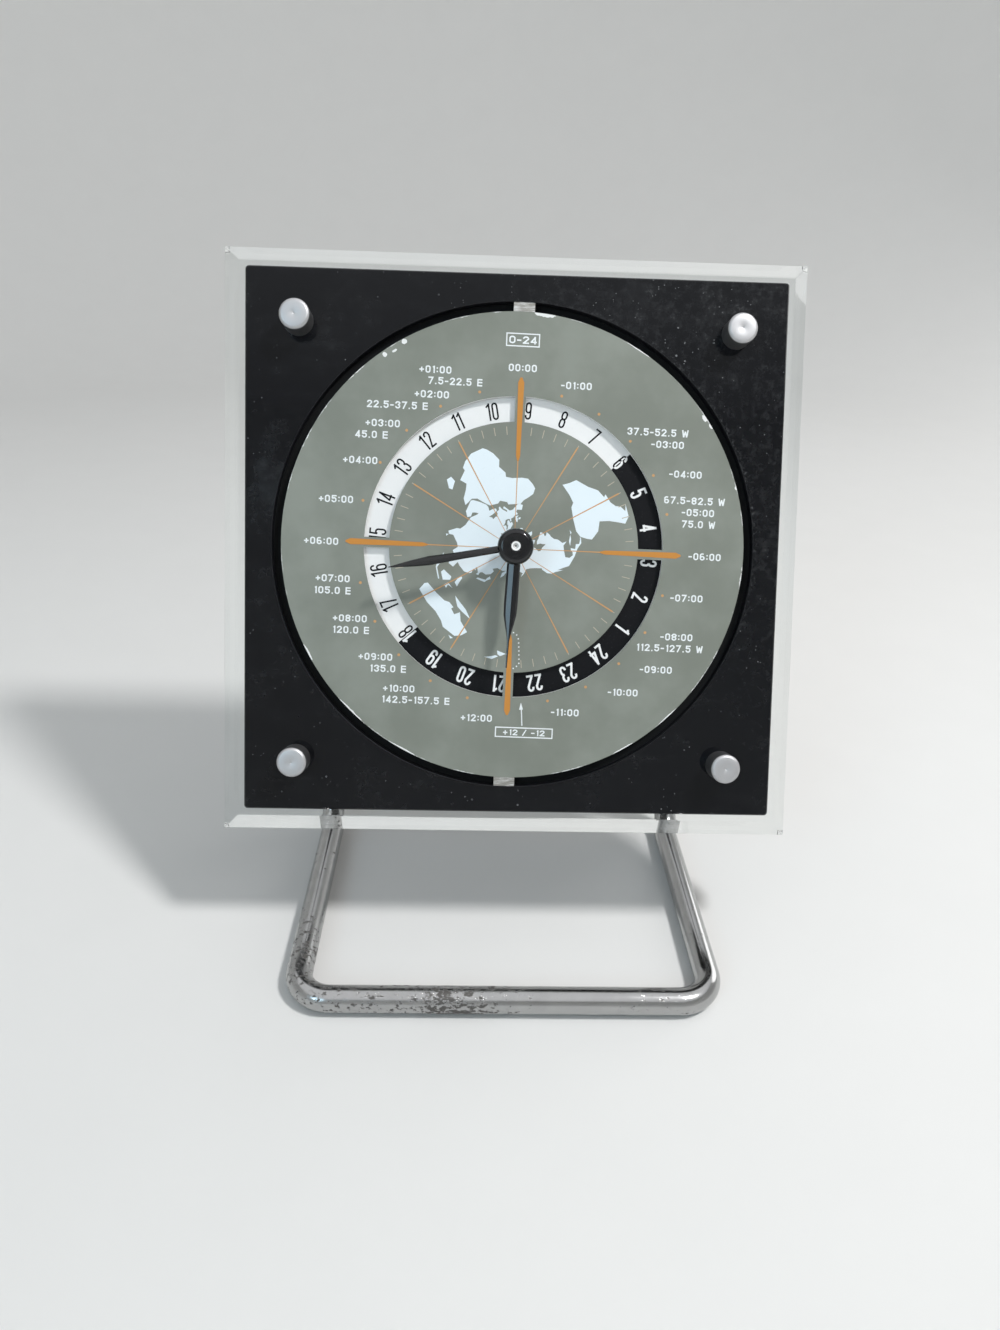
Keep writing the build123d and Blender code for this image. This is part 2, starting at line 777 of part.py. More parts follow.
HEAD_PIECES = {
    "clear_plate": clear_plate,
    "black_panel": black_panel,
    "corner_studs": corner_studs,
    "stud_screws": stud_screws,
    "dial": dial,
    "day_ring": day_ring,
    "day_wheel": day_wheel,
    "day_idler": day_idler,
    "hour_wheel": hour_wheel,
    "cannon_arbor": cannon_arbor,
    "minute_wheel": minute_wheel,
    "setting_knob": setting_knob,
    "centre_wheel": centre_wheel,
    "third_wheel": third_wheel,
    "seconds_wheel": seconds_wheel,
    "step_wheel": step_wheel,
    "rotor": rotor,
    "stator": stator,
    "coil": coil,
    "circuit_board": circuit_board,
    "quartz_can": quartz_can,
    "battery": battery,
    "battery_contacts": battery_contacts,
    "hour_hand": hour_hand,
    "minute_hand": minute_hand,
    "hub_cap": hub_cap,
    "dial_carrier": dial_carrier,
    "back_frame": back_frame,
    "movement_front": movement_front,
    "movement_back": movement_back,
    "rear_case": rear_case,
    "battery_door": battery_door,
    "movement_screws": movement_screws,
    "back_screws": back_screws,
    "carrier_screws": carrier_screws,
    "case_screws": case_screws,
    "stand_screws": stand_screws,
}

os.makedirs("parts", exist_ok=True)
for name, make in HEAD_PIECES.items():
    made = make()
    solids = made if isinstance(made, list) else [made]
    placed = [solid for item in solids for solid in (head_place * item).solids()]
    export_step(placed[0] if len(placed) == 1 else Compound(children=placed), f"parts/{name}.step")
export_step(wire_stand().solids()[0], "parts/wire_stand.step")
print("dial centre", round(head_y, 3), dial_height)
print("riser", round(head_y + riser_back, 3), round(riser_top, 3), "door hinge", door_hinge_at)
print("arbors", minute_at, idler_at, third_at, seconds_at, step_at, rotor_at)
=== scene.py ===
import json
import math

import bmesh
import bpy
from bpy.props import FloatProperty, FloatVectorProperty, IntProperty, PointerProperty
from mathutils import Matrix, Vector
from mathutils.geometry import delaunay_2d_cdt


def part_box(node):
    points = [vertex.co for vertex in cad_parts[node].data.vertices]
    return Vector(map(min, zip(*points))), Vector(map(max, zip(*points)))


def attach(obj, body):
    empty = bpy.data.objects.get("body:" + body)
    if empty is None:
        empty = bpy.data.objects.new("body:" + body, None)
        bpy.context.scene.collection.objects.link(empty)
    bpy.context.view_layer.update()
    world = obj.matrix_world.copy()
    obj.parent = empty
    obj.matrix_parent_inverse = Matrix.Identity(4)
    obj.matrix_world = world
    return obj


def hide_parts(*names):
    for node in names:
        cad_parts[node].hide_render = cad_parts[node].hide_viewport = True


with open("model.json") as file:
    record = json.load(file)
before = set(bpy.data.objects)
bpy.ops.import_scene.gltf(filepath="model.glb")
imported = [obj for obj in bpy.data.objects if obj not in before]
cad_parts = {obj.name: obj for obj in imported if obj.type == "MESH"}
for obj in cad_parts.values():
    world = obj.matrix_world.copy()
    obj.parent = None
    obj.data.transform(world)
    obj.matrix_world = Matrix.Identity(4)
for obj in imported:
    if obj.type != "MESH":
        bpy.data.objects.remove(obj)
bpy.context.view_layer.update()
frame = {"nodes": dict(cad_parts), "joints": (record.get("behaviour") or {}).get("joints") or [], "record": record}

bl_info = {
    "name": "World time desk clock",
    "version": (1, 0, 0),
    "blender": (4, 5, 0),
    "location": "View3D > Sidebar > Clock",
    "description": "Dresses the clock's construction with its plates, printed dial, hands and wire stand",
    "category": "Object",
}

MM = 0.001
JOINTS = {joint["name"]: joint for joint in frame["joints"]}

# The head's own axes: right along the dial, inwards through it and up its face, round the hands' arbor
DIAL_CENTRE = Vector(JOINTS["minute_spin"]["pos_m"])
INWARD = Vector(JOINTS["minute_spin"]["axis"]).normalized()
RIGHT = Vector((1.0, 0.0, 0.0))
UPWARD = RIGHT.cross(INWARD)
TILT = math.atan2(-INWARD.z, INWARD.y)
HEAD = Matrix.Translation(DIAL_CENTRE) @ Matrix((RIGHT, INWARD, UPWARD)).transposed().to_4x4()


def head_box(node):
    """A construction node's lowest and highest corner along the head's own axes, in metres."""
    back = HEAD.inverted()
    points = [back @ vertex.co for vertex in frame["nodes"][node].data.vertices]
    low = Vector([min(point[axis] for point in points) for axis in range(3)])
    high = Vector([max(point[axis] for point in points) for axis in range(3)])
    return low, high


PANEL = head_box("black_panel")
CLEAR = head_box("clear_plate")
CARRIER_RADIUS = head_box("dial_carrier")[1].x
STUDS = head_box("corner_studs")
DIAL_FRONT = head_box("dial")[0].y
RING_FRONT = head_box("day_ring")[0].y
HOUR_FRONT = head_box("hour_hand")[0].y
HOUR_BACK = head_box("hour_hand")[1].y
MINUTE_FRONT = head_box("minute_hand")[0].y
MINUTE_BACK = head_box("minute_hand")[1].y
CAP = head_box("hub_cap")
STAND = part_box("wire_stand")

# How far one plate is let into the next, so that their faces don't share a plane
CONTACT = 0.04 * MM


def length(name, millimetres, description):
    return FloatProperty(name=name, description=description, default=millimetres * MM, subtype="DISTANCE")


def turn(name, degrees, description):
    return FloatProperty(name=name, description=description, default=math.radians(degrees), subtype="ANGLE")


def number(name, value, description):
    return FloatProperty(name=name, description=description, default=value)


def colour(name, rgb, description):
    limits = {"size": 3, "min": 0.0, "max": 1.0}
    return FloatVectorProperty(name=name, description=description, default=rgb, subtype="COLOR", **limits)


class ClockSizes(bpy.types.PropertyGroup):
    """Sizes of what is printed on and fitted to the construction"""

    edge_ease: length("Edge ease", 0.3, "How far the polished plates' sharp edges are eased")
    mould_ease: length("Moulded edge", 0.8, "Radius of the moulded back's outer edges")
    panel_corner: length("Panel corner", 0.8, "Corner radius of the black panel")
    hole_radius: length("Hole radius", 54.4, "Radius of the round hole through the clear plate")
    bevel_side: length("Bevel width", 4.0, "Width of the clear plate's bevel, seen from the front")
    bevel_depth: length("Bevel depth", 3.5, "Depth of the clear plate's bevel")
    stud_radius: length("Stud radius", 3.3, "Radius of a corner stud's head")
    stud_shank: length("Stud shank", 2.0, "Radius of a corner stud behind the panel")
    stud_chamfer: length("Stud chamfer", 0.5, "Chamfer round a corner stud's face")
    dial_turn: turn("Dial turn", 1.2, "How far the dial sits turned clockwise")
    print_thick: length("Print thickness", 0.02, "Thickness of a coat of print")
    bar_inner: length("Bar inner end", 20.5, "Radius where a quarter bar starts")
    bar_outer: length("Bar outer end", 37.7, "Radius where a quarter bar ends")
    bar_width: length("Bar width", 1.35, "Width of a quarter bar at its outer end")
    bar_inner_width: length("Bar inner width", 0.9, "Width of a quarter bar at its inner end")
    bar_point: length("Bar point", 1.1, "Length of a quarter bar's points")
    line_inner: length("Line inner end", 3.0, "Radius where a two-hour line starts")
    line_outer: length("Line outer end", 26.5, "Radius where a two-hour line ends")
    line_width: length("Line width", 0.31, "Width of a two-hour line at its outer end")
    tick_inner: length("Tick inner end", 25.2, "Radius where a minute tick starts")
    tick_outer: length("Tick outer end", 27.0, "Radius where a minute tick ends")
    tick_width: length("Tick width", 0.17, "Width of a minute tick")
    dot_at: length("Dot circle", 35.3, "Radius of the circle of hour dots")
    dot_radius: length("Dot radius", 0.32, "Radius of an hour dot")
    label_height: length("Label height", 1.62, "Height of an hour label's figures")
    numeral_height: length("Numeral height", 3.85, "Height of a day ring numeral")
    day_line: number("Day line", 0.095, "Line of the day numerals, as a share of their height")
    night_line: number("Night line", 0.13, "Line of the night numerals, as a share of their height")
    numeral_at: length("Numeral circle", 30.8, "Radius of the middle of the day ring's numerals")
    window_inner: length("Window inner edge", 28.0, "Inner radius of the dial's window")
    window_outer: length("Window outer edge", 33.6, "Outer radius of the dial's window")
    degree_of_latitude: length("Degree of latitude", 0.186, "Distance on the map for one degree")
    hour_length: length("Hour blade length", 20.0, "Reach of the hour hand's blade")
    hour_needle: length("Hour needle", 6.6, "Reach of the hour hand's needle past its blade")
    hour_width: length("Hour blade width", 3.0, "Widest part of the hour hand")
    minute_length: length("Minute hand length", 28.0, "Reach of the minute hand")
    minute_width: length("Minute hand width", 2.0, "Widest part of the minute hand")
    ridge_rise: length("Hand ridge", 0.45, "How far a hand's ridge stands above its edges")
    hub_radius: length("Hub radius", 3.95, "Radius of the hub's dome")
    hub_shoulder: length("Hub shoulder", 1.2, "Width of the rounded shoulder round the hub's face")
    rod_radius: length("Rod radius", 3.0, "Radius of the stand's rod")
    bend_radius: length("Bend radius", 8.0, "Radius of the rod's bends along its middle")
    numeral_reading: number("Day ring reading", 9.32, "Hour of the day ring that stands at the top")
    hour_angle: turn("Hour hand angle", 183.0, "Clock angle of the hour hand at rest")
    minute_angle: turn("Minute hand angle", 259.5, "Clock angle of the minute hand at rest")
    round_steps: IntProperty(
        name="Round steps", description="Sides of a large round edge", default=144, min=24,
    )


class ClockColours(bpy.types.PropertyGroup):
    """Colours of the clock's paints and prints"""

    paint: colour("Dial paint", (0.205, 0.222, 0.190), "Grey-green paint of the dial")
    paint_light: colour("Dial paint, light", (0.255, 0.275, 0.240), "Paler patches of the dial's paint")
    bare_sheet: colour("Bare sheet", (0.80, 0.81, 0.80), "Metal of the dial where its paint has chipped")
    worn_tab: colour("Worn tab", (0.36, 0.345, 0.315), "Worn metal of the dial's two tabs")
    print_white: colour("Label white", (0.84, 0.87, 0.88), "White print of the labels")
    map_white: colour("Map white", (0.79, 0.88, 0.93), "Cold white of the map")
    orange: colour("Orange", (0.58, 0.255, 0.06), "Orange print of the bars")
    line_orange: colour("Line orange", (0.60, 0.34, 0.155), "Paler orange of the thin lines and dots")
    tan: colour("Tick tan", (0.50, 0.45, 0.36), "Pale print of the minute ticks")
    ring_white: colour("Ring white", (0.84, 0.845, 0.84), "Day half of the ring")
    ring_black: colour("Ring black", (0.005, 0.0055, 0.007), "Night half of the ring")
    gloss_black: colour("Polished black", (0.0035, 0.004, 0.0055), "Black of the panel and the hands")
    # Also the colour of the panel's painted sheen toward its upper right
    dust: colour("Dust", (0.36, 0.37, 0.38), "Dust and rubbed marks on the panel")
    moulded_black: colour("Moulded black", (0.012, 0.012, 0.013), "Moulded plastic of the case")
    knob_grey: colour("Knob grey", (0.034, 0.034, 0.036), "Moulded plastic of the setting knob")
    aluminium: colour("Aluminium", (0.54, 0.54, 0.55), "Turned faces of the studs")
    # Painted shade: the studs' sides are darker, as where they face away from the light and mirror the dark panel
    stud_side: colour("Stud side", (0.20, 0.20, 0.205), "Dull sides of the studs")
    chrome: colour("Chrome", (0.49, 0.49, 0.487), "Plating of the rod")
    pitting: colour("Pitting", (0.045, 0.038, 0.032), "Dark pits in the plating")
    floor: colour("Floor", (0.78, 0.775, 0.76), "Floor and backdrop")


class Sock:
    """A node's output that takes part in Python arithmetic"""

    def __init__(self, graph, socket):
        self.graph = graph
        self.socket = socket

    def of(self, name):
        """Another output of the same node."""
        return Sock(self.graph, self.socket.node.outputs[name])

    def maths(self, operation, *values):
        sockets = dict(enumerate(values))
        return self.graph.node("ShaderNodeMath", sockets, operation=operation)

    def __add__(self, other):
        return self.maths("ADD", self, other)

    def __radd__(self, other):
        return self.maths("ADD", other, self)

    def __sub__(self, other):
        return self.maths("SUBTRACT", self, other)

    def __rsub__(self, other):
        return self.maths("SUBTRACT", other, self)

    def __mul__(self, other):
        return self.maths("MULTIPLY", self, other)

    def __rmul__(self, other):
        return self.maths("MULTIPLY", other, self)

    def __truediv__(self, other):
        return self.maths("DIVIDE", self, other)

    def __pow__(self, other):
        return self.maths("POWER", self, other)

    def __gt__(self, other):
        return self.maths("GREATER_THAN", self, other)

    def __lt__(self, other):
        return self.maths("LESS_THAN", self, other)

    def sine(self):
        return self.maths("SINE", self)

    def cosine(self):
        return self.maths("COSINE", self)

    def clamped(self):
        return self.graph.node("ShaderNodeClamp", {"Value": self})

    def rise(self, low, high):
        """0 below low and 1 above high, with a smooth rise between."""
        sockets = {"Value": self, "From Min": low, "From Max": high}
        return self.graph.node("ShaderNodeMapRange", sockets, interpolation_type="SMOOTHSTEP")


class Graph:
    """A node tree that is built by calls"""

    def __init__(self, tree):
        self.tree = tree

    def node(self, kind, sockets=None, out=0, **settings):
        made = self.tree.nodes.new(kind)
        for key, value in settings.items():
            setattr(made, key, value)
        for key, value in (sockets or {}).items():
            if isinstance(value, Sock):
                self.tree.links.new(value.socket, made.inputs[key])
            else:
                made.inputs[key].default_value = value
        return Sock(self, made.outputs[out])


class Finish(Graph):
    """A material round one Principled shader"""

    def __init__(self, name, **constants):
        self.material = bpy.data.materials.new(name)
        self.material.use_nodes = True
        super().__init__(self.material.node_tree)
        self.tree.nodes.clear()
        self.shader = self.tree.nodes.new("ShaderNodeBsdfPrincipled")
        output = self.tree.nodes.new("ShaderNodeOutputMaterial")
        self.tree.links.new(self.shader.outputs[0], output.inputs["Surface"])
        for key, value in constants.items():
            self.set(key.replace("_", " ").title().replace("Ior", "IOR"), value)

    def set(self, socket, value):
        if isinstance(value, Sock):
            self.tree.links.new(value.socket, self.shader.inputs[socket])
        else:
            self.shader.inputs[socket].default_value = value

    def head_mm(self):
        """Places along the head's own axes, in millimetres from the dial's centre."""
        sockets = {
            "Vector": self.node("ShaderNodeTexCoord", out="Object"),
            "Location": DIAL_CENTRE,
            "Rotation": (-TILT, 0.0, 0.0),
            "Scale": (MM, MM, MM),
        }
        return self.node("ShaderNodeMapping", sockets, vector_type="TEXTURE")

    def stretched(self, at, scale):
        return self.node("ShaderNodeMapping", {"Vector": at, "Scale": scale})

    def noise(self, at, scale, detail=3.0, roughness=0.5):
        sockets = {"Vector": at, "Scale": scale, "Detail": detail, "Roughness": roughness}
        return self.node("ShaderNodeTexNoise", sockets)

    def specks(self, at, scale, radius, share):
        """Round spots in a share of the cells of a random grid."""
        cells = self.node("ShaderNodeTexVoronoi", {"Vector": at, "Scale": scale})
        pick = self.node("ShaderNodeSeparateColor", {"Color": cells.of("Color")})
        size = pick.of("Green") * radius
        return (cells < size) * (pick < share)

    def mixed(self, factor, first, second):
        sockets = {0: factor, 6: shade(first), 7: shade(second)}
        return self.node("ShaderNodeMix", sockets, out=2, data_type="RGBA")

    def bump(self, height, distance, strength=1.0):
        sockets = {"Height": height, "Distance": distance * MM, "Strength": strength}
        self.set("Normal", self.node("ShaderNodeBump", sockets))

    def split(self, at):
        return self.node("ShaderNodeSeparateXYZ", {"Vector": at})

    def reach(self, axes):
        """Distance from the arbor's line."""
        return (axes.of("X") ** 2.0 + axes.of("Z") ** 2.0) ** 0.5


def shade(value):
    """A colour for a node's socket, or the link that was given."""
    return value if isinstance(value, Sock) else (*value, 1.0)


# Finishes, each filed by name with the values that are the same all over its surface

FINISHES = {}
MADE_FINISHES = {}


def filed(**constants):
    """Files a function that paints a finish under that function's own name."""
    def keep(paint):
        FINISHES[paint.__name__] = (paint, constants)
        return paint
    return keep


def finished(name):
    """The material of a filed finish, made once."""
    if name not in MADE_FINISHES:
        paint, constants = FINISHES[name]
        finish = Finish(name, **constants)
        paint(finish, bpy.context.scene.clock_colours)
        MADE_FINISHES[name] = finish.material
    return MADE_FINISHES[name]


@filed(base_color=(0.95, 0.97, 0.965, 1.0), ior=1.49, transmission_weight=1.0)
def clear_acrylic(finish, tints):
    at = finish.head_mm()
    rubbed = finish.noise(finish.stretched(at, (0.2, 1.0, 1.0)), 0.9, 6.0, 0.7).rise(0.52, 0.72)
    haze = finish.noise(at, 0.06, 3.0).rise(0.45, 0.75)
    finish.set("Roughness", 0.012 + rubbed * 0.05 + haze * 0.03)


@filed(ior=1.49, specular_ior_level=0.28)
def polished_black(finish, tints):
    at = finish.head_mm()
    axes = finish.split(at)
    radius = finish.reach(axes)
    hole = CARRIER_RADIUS / MM
    haze = finish.noise(at, 0.05, 6.0, 0.62).rise(0.46, 0.72)
    wipes = finish.noise(finish.stretched(at, (0.25, 1.0, 1.0)), 0.22, 5.0, 0.6).rise(0.5, 0.74)
    # Toward the upper right the pale marks grow: partly dust, partly painted sheen where the light falls on the
    # panel
    corner = (axes.of("X") + axes.of("Z") * 0.6).rise(10.0, 75.0)
    mottle_and_sheen = finish.noise(at, 0.4, 7.0, 0.78).rise(0.46, 0.78) * (haze * 0.5 + corner)
    lint = (finish.noise(at, 0.12, 3.0) + corner * 0.1).rise(0.5, 0.66)
    grit = finish.specks(at, 0.6, 0.14, 0.3) * lint + finish.specks(at, 1.6, 0.2, 0.2) * lint
    near_hole = 1.0 - (radius - hole).rise(0.1, 1.6)
    # The pale rim by the hole, strongest toward the upper right, is partly dust and partly painted sheen
    rim = near_hole * finish.noise(at, 0.9, 5.0, 0.7).rise(0.5, 0.75) * corner
    dust_and_sheen = haze * 0.012 + wipes * 0.01 + mottle_and_sheen * 0.07 + grit.clamped() * 0.5 + rim * 0.25
    edge = radius < hole + 0.1
    front = (axes.of("Y") < 0.4) * (1.0 - edge)
    finish.set("Base Color", finish.mixed((dust_and_sheen * front).clamped(), tints.gloss_black, tints.dust))
    rubbed = haze * 0.12 + wipes * 0.1 + mottle_and_sheen * 0.2 + (grit + rim) * 0.5
    finish.set("Roughness", (0.06 + edge * 0.44 + rubbed * front).clamped())


@filed(metallic=1.0)
def turned_aluminium(finish, tints):
    """Fine turned grooves on the face, and sides darkened with painted shade."""
    at = finish.head_mm()
    groove = 0.16
    wall = bpy.context.scene.clock_sizes.stud_radius / MM
    radius = finish.node("ShaderNodeAttribute", out="Fac", attribute_name="turning")
    # Painted shade: the sides take a darker colour than the turned face
    side = radius.rise(wall - 0.12, wall - 0.02)
    finish.set("Base Color", finish.mixed(side, tints.aluminium, tints.stud_side))
    finish.set("Roughness", 0.44 + finish.noise(at, 2.5, 4.0) * 0.16)
    turned = (radius * (2 * math.pi / groove)).sine()
    finish.bump(turned + finish.noise(at, 6.0, 2.0), 0.006, 0.4)


# Chips at the dial's rim, as clock angle, radius, half width along the rim and half depth, in degrees and mm
RIM_CHIPS = (
    (6.4, 51.75, 2.6, 0.55),
    (324.8, 51.1, 0.55, 0.65),
    (327.3, 50.7, 0.7, 0.3),
    (330.6, 51.4, 0.8, 0.6),
    (54.6, 51.6, 0.9, 0.5),
    (57.0, 51.9, 0.7, 0.4),
    (73.6, 51.9, 0.5, 0.35),
    (242.0, 51.9, 2.2, 0.35),
    (224.0, 51.95, 5.0, 0.35),
    (208.0, 51.95, 4.5, 0.35),
    (150.0, 52.0, 3.5, 0.3),
    (136.0, 52.0, 3.0, 0.3),
    (31.0, 52.0, 4.0, 0.28),
)


@filed(ior=1.45)
def dial_paint(finish, tints):
    """Paint that has chipped along the dial's rim, and bare worn tabs outside it, streaked with wear and painted
    highlight.
    """
    at = finish.head_mm()
    axes = finish.split(at)
    right, up = axes.of("X"), axes.of("Z")
    radius = finish.reach(axes)
    rim = 52.0
    patches = finish.noise(at, 0.055, 4.0, 0.55).rise(0.35, 0.7)
    ragged = finish.noise(at, 1.1, 4.0, 0.65) - 0.5
    chipped = (radius + ragged * 0.7).rise(rim - 0.2, rim - 0.05) * finish.noise(at, 0.12, 3.0).rise(0.5, 0.6)
    for angle, chip_radius, half_width, half_depth in RIM_CHIPS:
        way = math.radians(angle)
        along = (right * math.cos(way) - up * math.sin(way)) / half_width
        out = (right * math.sin(way) + up * math.cos(way) - chip_radius) / half_depth
        chipped = chipped + (along * along + out * out + ragged * 2.2 < 0.8)
    cut = axes.of("Y") > DIAL_FRONT / MM + 0.06
    bare = (chipped + cut).clamped()
    tab = radius > rim + 0.02
    # Paler horizontal streaks on the tabs: partly worn metal, partly painted highlight
    streaks_and_highlights = finish.noise(finish.stretched(at, (0.35, 1.0, 2.5)), 1.2, 5.0, 0.65)
    metal = finish.mixed(streaks_and_highlights.rise(0.4, 0.7), tints.worn_tab, tints.bare_sheet)
    painted = finish.mixed(patches, tints.paint, tints.paint_light)
    chips = finish.mixed(bare, painted, tints.bare_sheet)
    finish.set("Base Color", finish.mixed(tab, chips, metal))
    finish.set("Metallic", tab * 0.75)
    finish.set("Roughness", 0.42 + patches * 0.08 + bare * 0.12 - tab * 0.1)
    finish.bump(finish.noise(at, 9.0, 2.0) - bare * 2.0, 0.012, 0.35)


def thin_print(base, below, wear):
    """A print of one colour, thinned to the colour below it where it has worn."""
    def paint(finish, tints):
        at = finish.head_mm()
        thin = finish.noise(at, 1.6, 5.0, 0.7).rise(0.56, 0.8) * wear
        finish.set("Base Color", finish.mixed(thin, getattr(tints, base), getattr(tints, below)))
        finish.set("Roughness", 0.46 + finish.noise(at, 3.0, 2.0) * 0.1)
    return paint


# Prints, as their colour, the colour below them and how far they have worn
PRINTS = {
    "label_white": ("print_white", "paint", 0.25),
    "map_white": ("map_white", "paint", 0.08),
    "bar_orange": ("orange", "paint", 0.3),
    "line_orange": ("line_orange", "paint", 0.35),
    "tick_tan": ("tan", "paint", 0.5),
    "ring_print": ("ring_white", "dust", 0.12),
    "ring_black": ("ring_black", "dust", 0.06),
}
for print_name, recipe in PRINTS.items():
    FINISHES[print_name] = (thin_print(*recipe), {"ior": 1.45, "specular_ior_level": 0.18})


def moulding(base, roughness):
    """Grained plastic, paler where it has been rubbed."""
    def paint(finish, tints):
        at = finish.head_mm()
        grain = finish.noise(at, 5.5, 3.0, 0.6)
        rubbed = finish.noise(at, 0.09, 4.0, 0.6).rise(0.5, 0.75)
        finish.set("Base Color", finish.mixed(rubbed * 0.03, getattr(tints, base), tints.dust))
        finish.set("Roughness", roughness - rubbed * 0.06 + grain * 0.12)
        finish.bump(grain, 0.03, 0.5)
    return paint


FINISHES["moulded_black"] = (moulding("moulded_black", 0.46), {"ior": 1.47})
FINISHES["knob_grey"] = (moulding("knob_grey", 0.34), {"ior": 1.47})


@filed(ior=1.49, specular_ior_level=0.6)
def hand_black(finish, tints):
    at = finish.head_mm()
    finish.set("Base Color", shade(tints.gloss_black))
    finish.set("Roughness", 0.1 + finish.noise(at, 1.2, 5.0, 0.65).rise(0.48, 0.8) * 0.12)
    finish.bump(finish.noise(at, 2.2, 2.0), 0.006, 0.15)


@filed(ior=1.4, specular_ior_level=0.2)
def matt_black(finish, tints):
    grain = finish.noise(finish.head_mm(), 4.0, 3.0, 0.6)
    finish.set("Base Color", finish.mixed(grain, (0.004, 0.0045, 0.005), (0.008, 0.0085, 0.009)))
    finish.set("Roughness", 0.6 + grain * 0.2)
    finish.bump(grain, 0.02, 0.4)


@filed(metallic=1.0)
def bright_steel(finish, tints):
    at = finish.head_mm()
    film = finish.noise(at, 0.8, 4.0, 0.6)
    finish.set("Base Color", finish.mixed(film, (0.50, 0.50, 0.49), (0.66, 0.66, 0.64)))
    finish.set("Roughness", 0.24 + film * 0.2)
    finish.bump(finish.noise(finish.stretched(at, (1.0, 1.0, 9.0)), 3.0), 0.004, 0.5)


@filed(ior=1.48)
def train_plastic(finish, tints):
    flow = finish.noise(finish.head_mm(), 0.5, 3.0)
    finish.set("Base Color", finish.mixed(flow, (0.66, 0.65, 0.60), (0.76, 0.75, 0.71)))
    finish.set("Roughness", 0.38 + flow * 0.14)


@filed()
def train_brass(finish, tints):
    """Plated brass; on the arbor's front end a grey dish and a black centre as painted shade, and a black outer
    chamfer as a painted dark reflection.
    """
    at = finish.head_mm()
    axes = finish.split(at)
    radius = finish.reach(axes)
    hole_radius, dish_radius, rim_radius = 0.17, 0.6, 1.01
    front = axes.of("Y") < 0.0
    # Painted shade: the dish is darker grey, and the drilled centre is near black
    dish = (radius < dish_radius) * front
    # Painted shade in the centre hole and a painted dark reflection on the chamfer past the rim
    painted_dark = ((radius < hole_radius) + (radius > rim_radius)) * front
    film = finish.noise(at, 1.6, 3.0)
    plated = finish.mixed(film, (0.86, 0.86, 0.84), (0.95, 0.95, 0.94))
    dish_shaded = finish.mixed(dish, plated, (0.50, 0.50, 0.49))
    finish.set("Base Color", finish.mixed(painted_dark, dish_shaded, (0.012, 0.012, 0.013)))
    finish.set("Metallic", 1.0 - painted_dark)
    finish.set("Roughness", 0.46 + film * 0.16)


@filed(metallic=1.0)
def copper_winding(finish, tints):
    wire = 0.22
    turns = (finish.split(finish.head_mm()).of("X") * (2 * math.pi / wire)).sine()
    # Painted shade: each turn is darker toward the grooves between turns and lighter on its crest
    finish.set("Base Color", finish.mixed(turns * 0.5 + 0.5, (0.30, 0.10, 0.035), (0.66, 0.28, 0.12)))
    finish.set("Roughness", 0.3 - turns * 0.06)
    finish.bump(turns, 0.08, 0.8)


@filed(ior=1.5)
def board_green(finish, tints):
    sockets = {"Vector": finish.head_mm(), "Scale": 0.45, "Mortar Size": 0.05}
    tracks = finish.node("ShaderNodeTexBrick", sockets, out="Fac")
    finish.set("Base Color", finish.mixed(tracks, (0.012, 0.10, 0.045), (0.03, 0.20, 0.09)))
    finish.set("Roughness", 0.3 + tracks * 0.12)


@filed(ior=1.5)
def cell_wrap(finish, tints):
    """A plain grey wrap with a bright end."""
    at = finish.head_mm()
    wrap_end = 10.5
    cap = finish.split(at).of("X").rise(wrap_end - 0.1, wrap_end + 0.1)
    finish.set("Base Color", finish.mixed(cap, (0.20, 0.22, 0.24), (0.55, 0.55, 0.54)))
    finish.set("Metallic", cap * 0.8)
    finish.set("Roughness", 0.26 + finish.noise(at, 1.1, 4.0) * 0.18)


@filed()
def worn_chrome(finish, tints):
    """Thin plating with pits that break up its shine along the front bar."""
    at = finish.head_mm()
    along = finish.stretched(at, (0.6, 1.0, 1.0))
    axes = finish.split(at)
    front_left = (0.0 - axes.of("X")).rise(-18.0, 12.0) * (0.0 - axes.of("Z")).rise(84.0, 92.0)
    clouds = finish.noise(along, 0.07, 4.0, 0.6).rise(0.46, 0.7) * 0.5 + front_left * 0.5
    fine = finish.noise(along, 1.1, 6.0, 0.7)
    pits = (fine + clouds * 0.2).rise(0.65, 0.7)
    dots = finish.specks(at, 1.7, 0.24, 0.3) * (clouds * 0.8 + 0.1)
    worn = (pits + dots).clamped()
    dull = finish.mixed(finish.noise(at, 0.25, 4.0), tints.chrome, (0.38, 0.38, 0.38))
    finish.set("Base Color", finish.mixed(worn * 0.85, dull, tints.pitting))
    finish.set("Metallic", 1.0 - worn * 0.6)
    finish.set("Roughness", (0.08 + clouds * 0.1 + fine * 0.12 + worn * 0.4).clamped())
    finish.bump(fine * 0.3 - worn, 0.03, 0.4)


@filed(ior=1.3)
def studio_floor(finish, tints):
    paper = finish.noise(finish.node("ShaderNodeTexCoord", out="Object"), 40.0, 4.0)
    lighter = [min(1.0, part * 1.03) for part in tints.floor]
    finish.set("Base Color", finish.mixed(paper, tints.floor, lighter))
    finish.set("Roughness", 0.8 + paper * 0.1)


# Slots and nodes whose finish has another name than the slot
SLOT_FINISHES = {
    "black_gloss": "polished_black",
    "case_black": "moulded_black",
    "steel": "bright_steel",
    "chromed_rod": "worn_chrome",
}
NODE_FINISHES = {"dial_carrier": "matt_black", "setting_knob": "knob_grey"}


# Meshes in the head's own axes, in metres

# Points nearer than this are one point
SAME_PLACE = 0.0001 * MM


def ring(radius, y, steps):
    angles = [2 * math.pi * step / steps for step in range(steps)]
    return [(radius * math.sin(angle), y, radius * math.cos(angle)) for angle in angles]


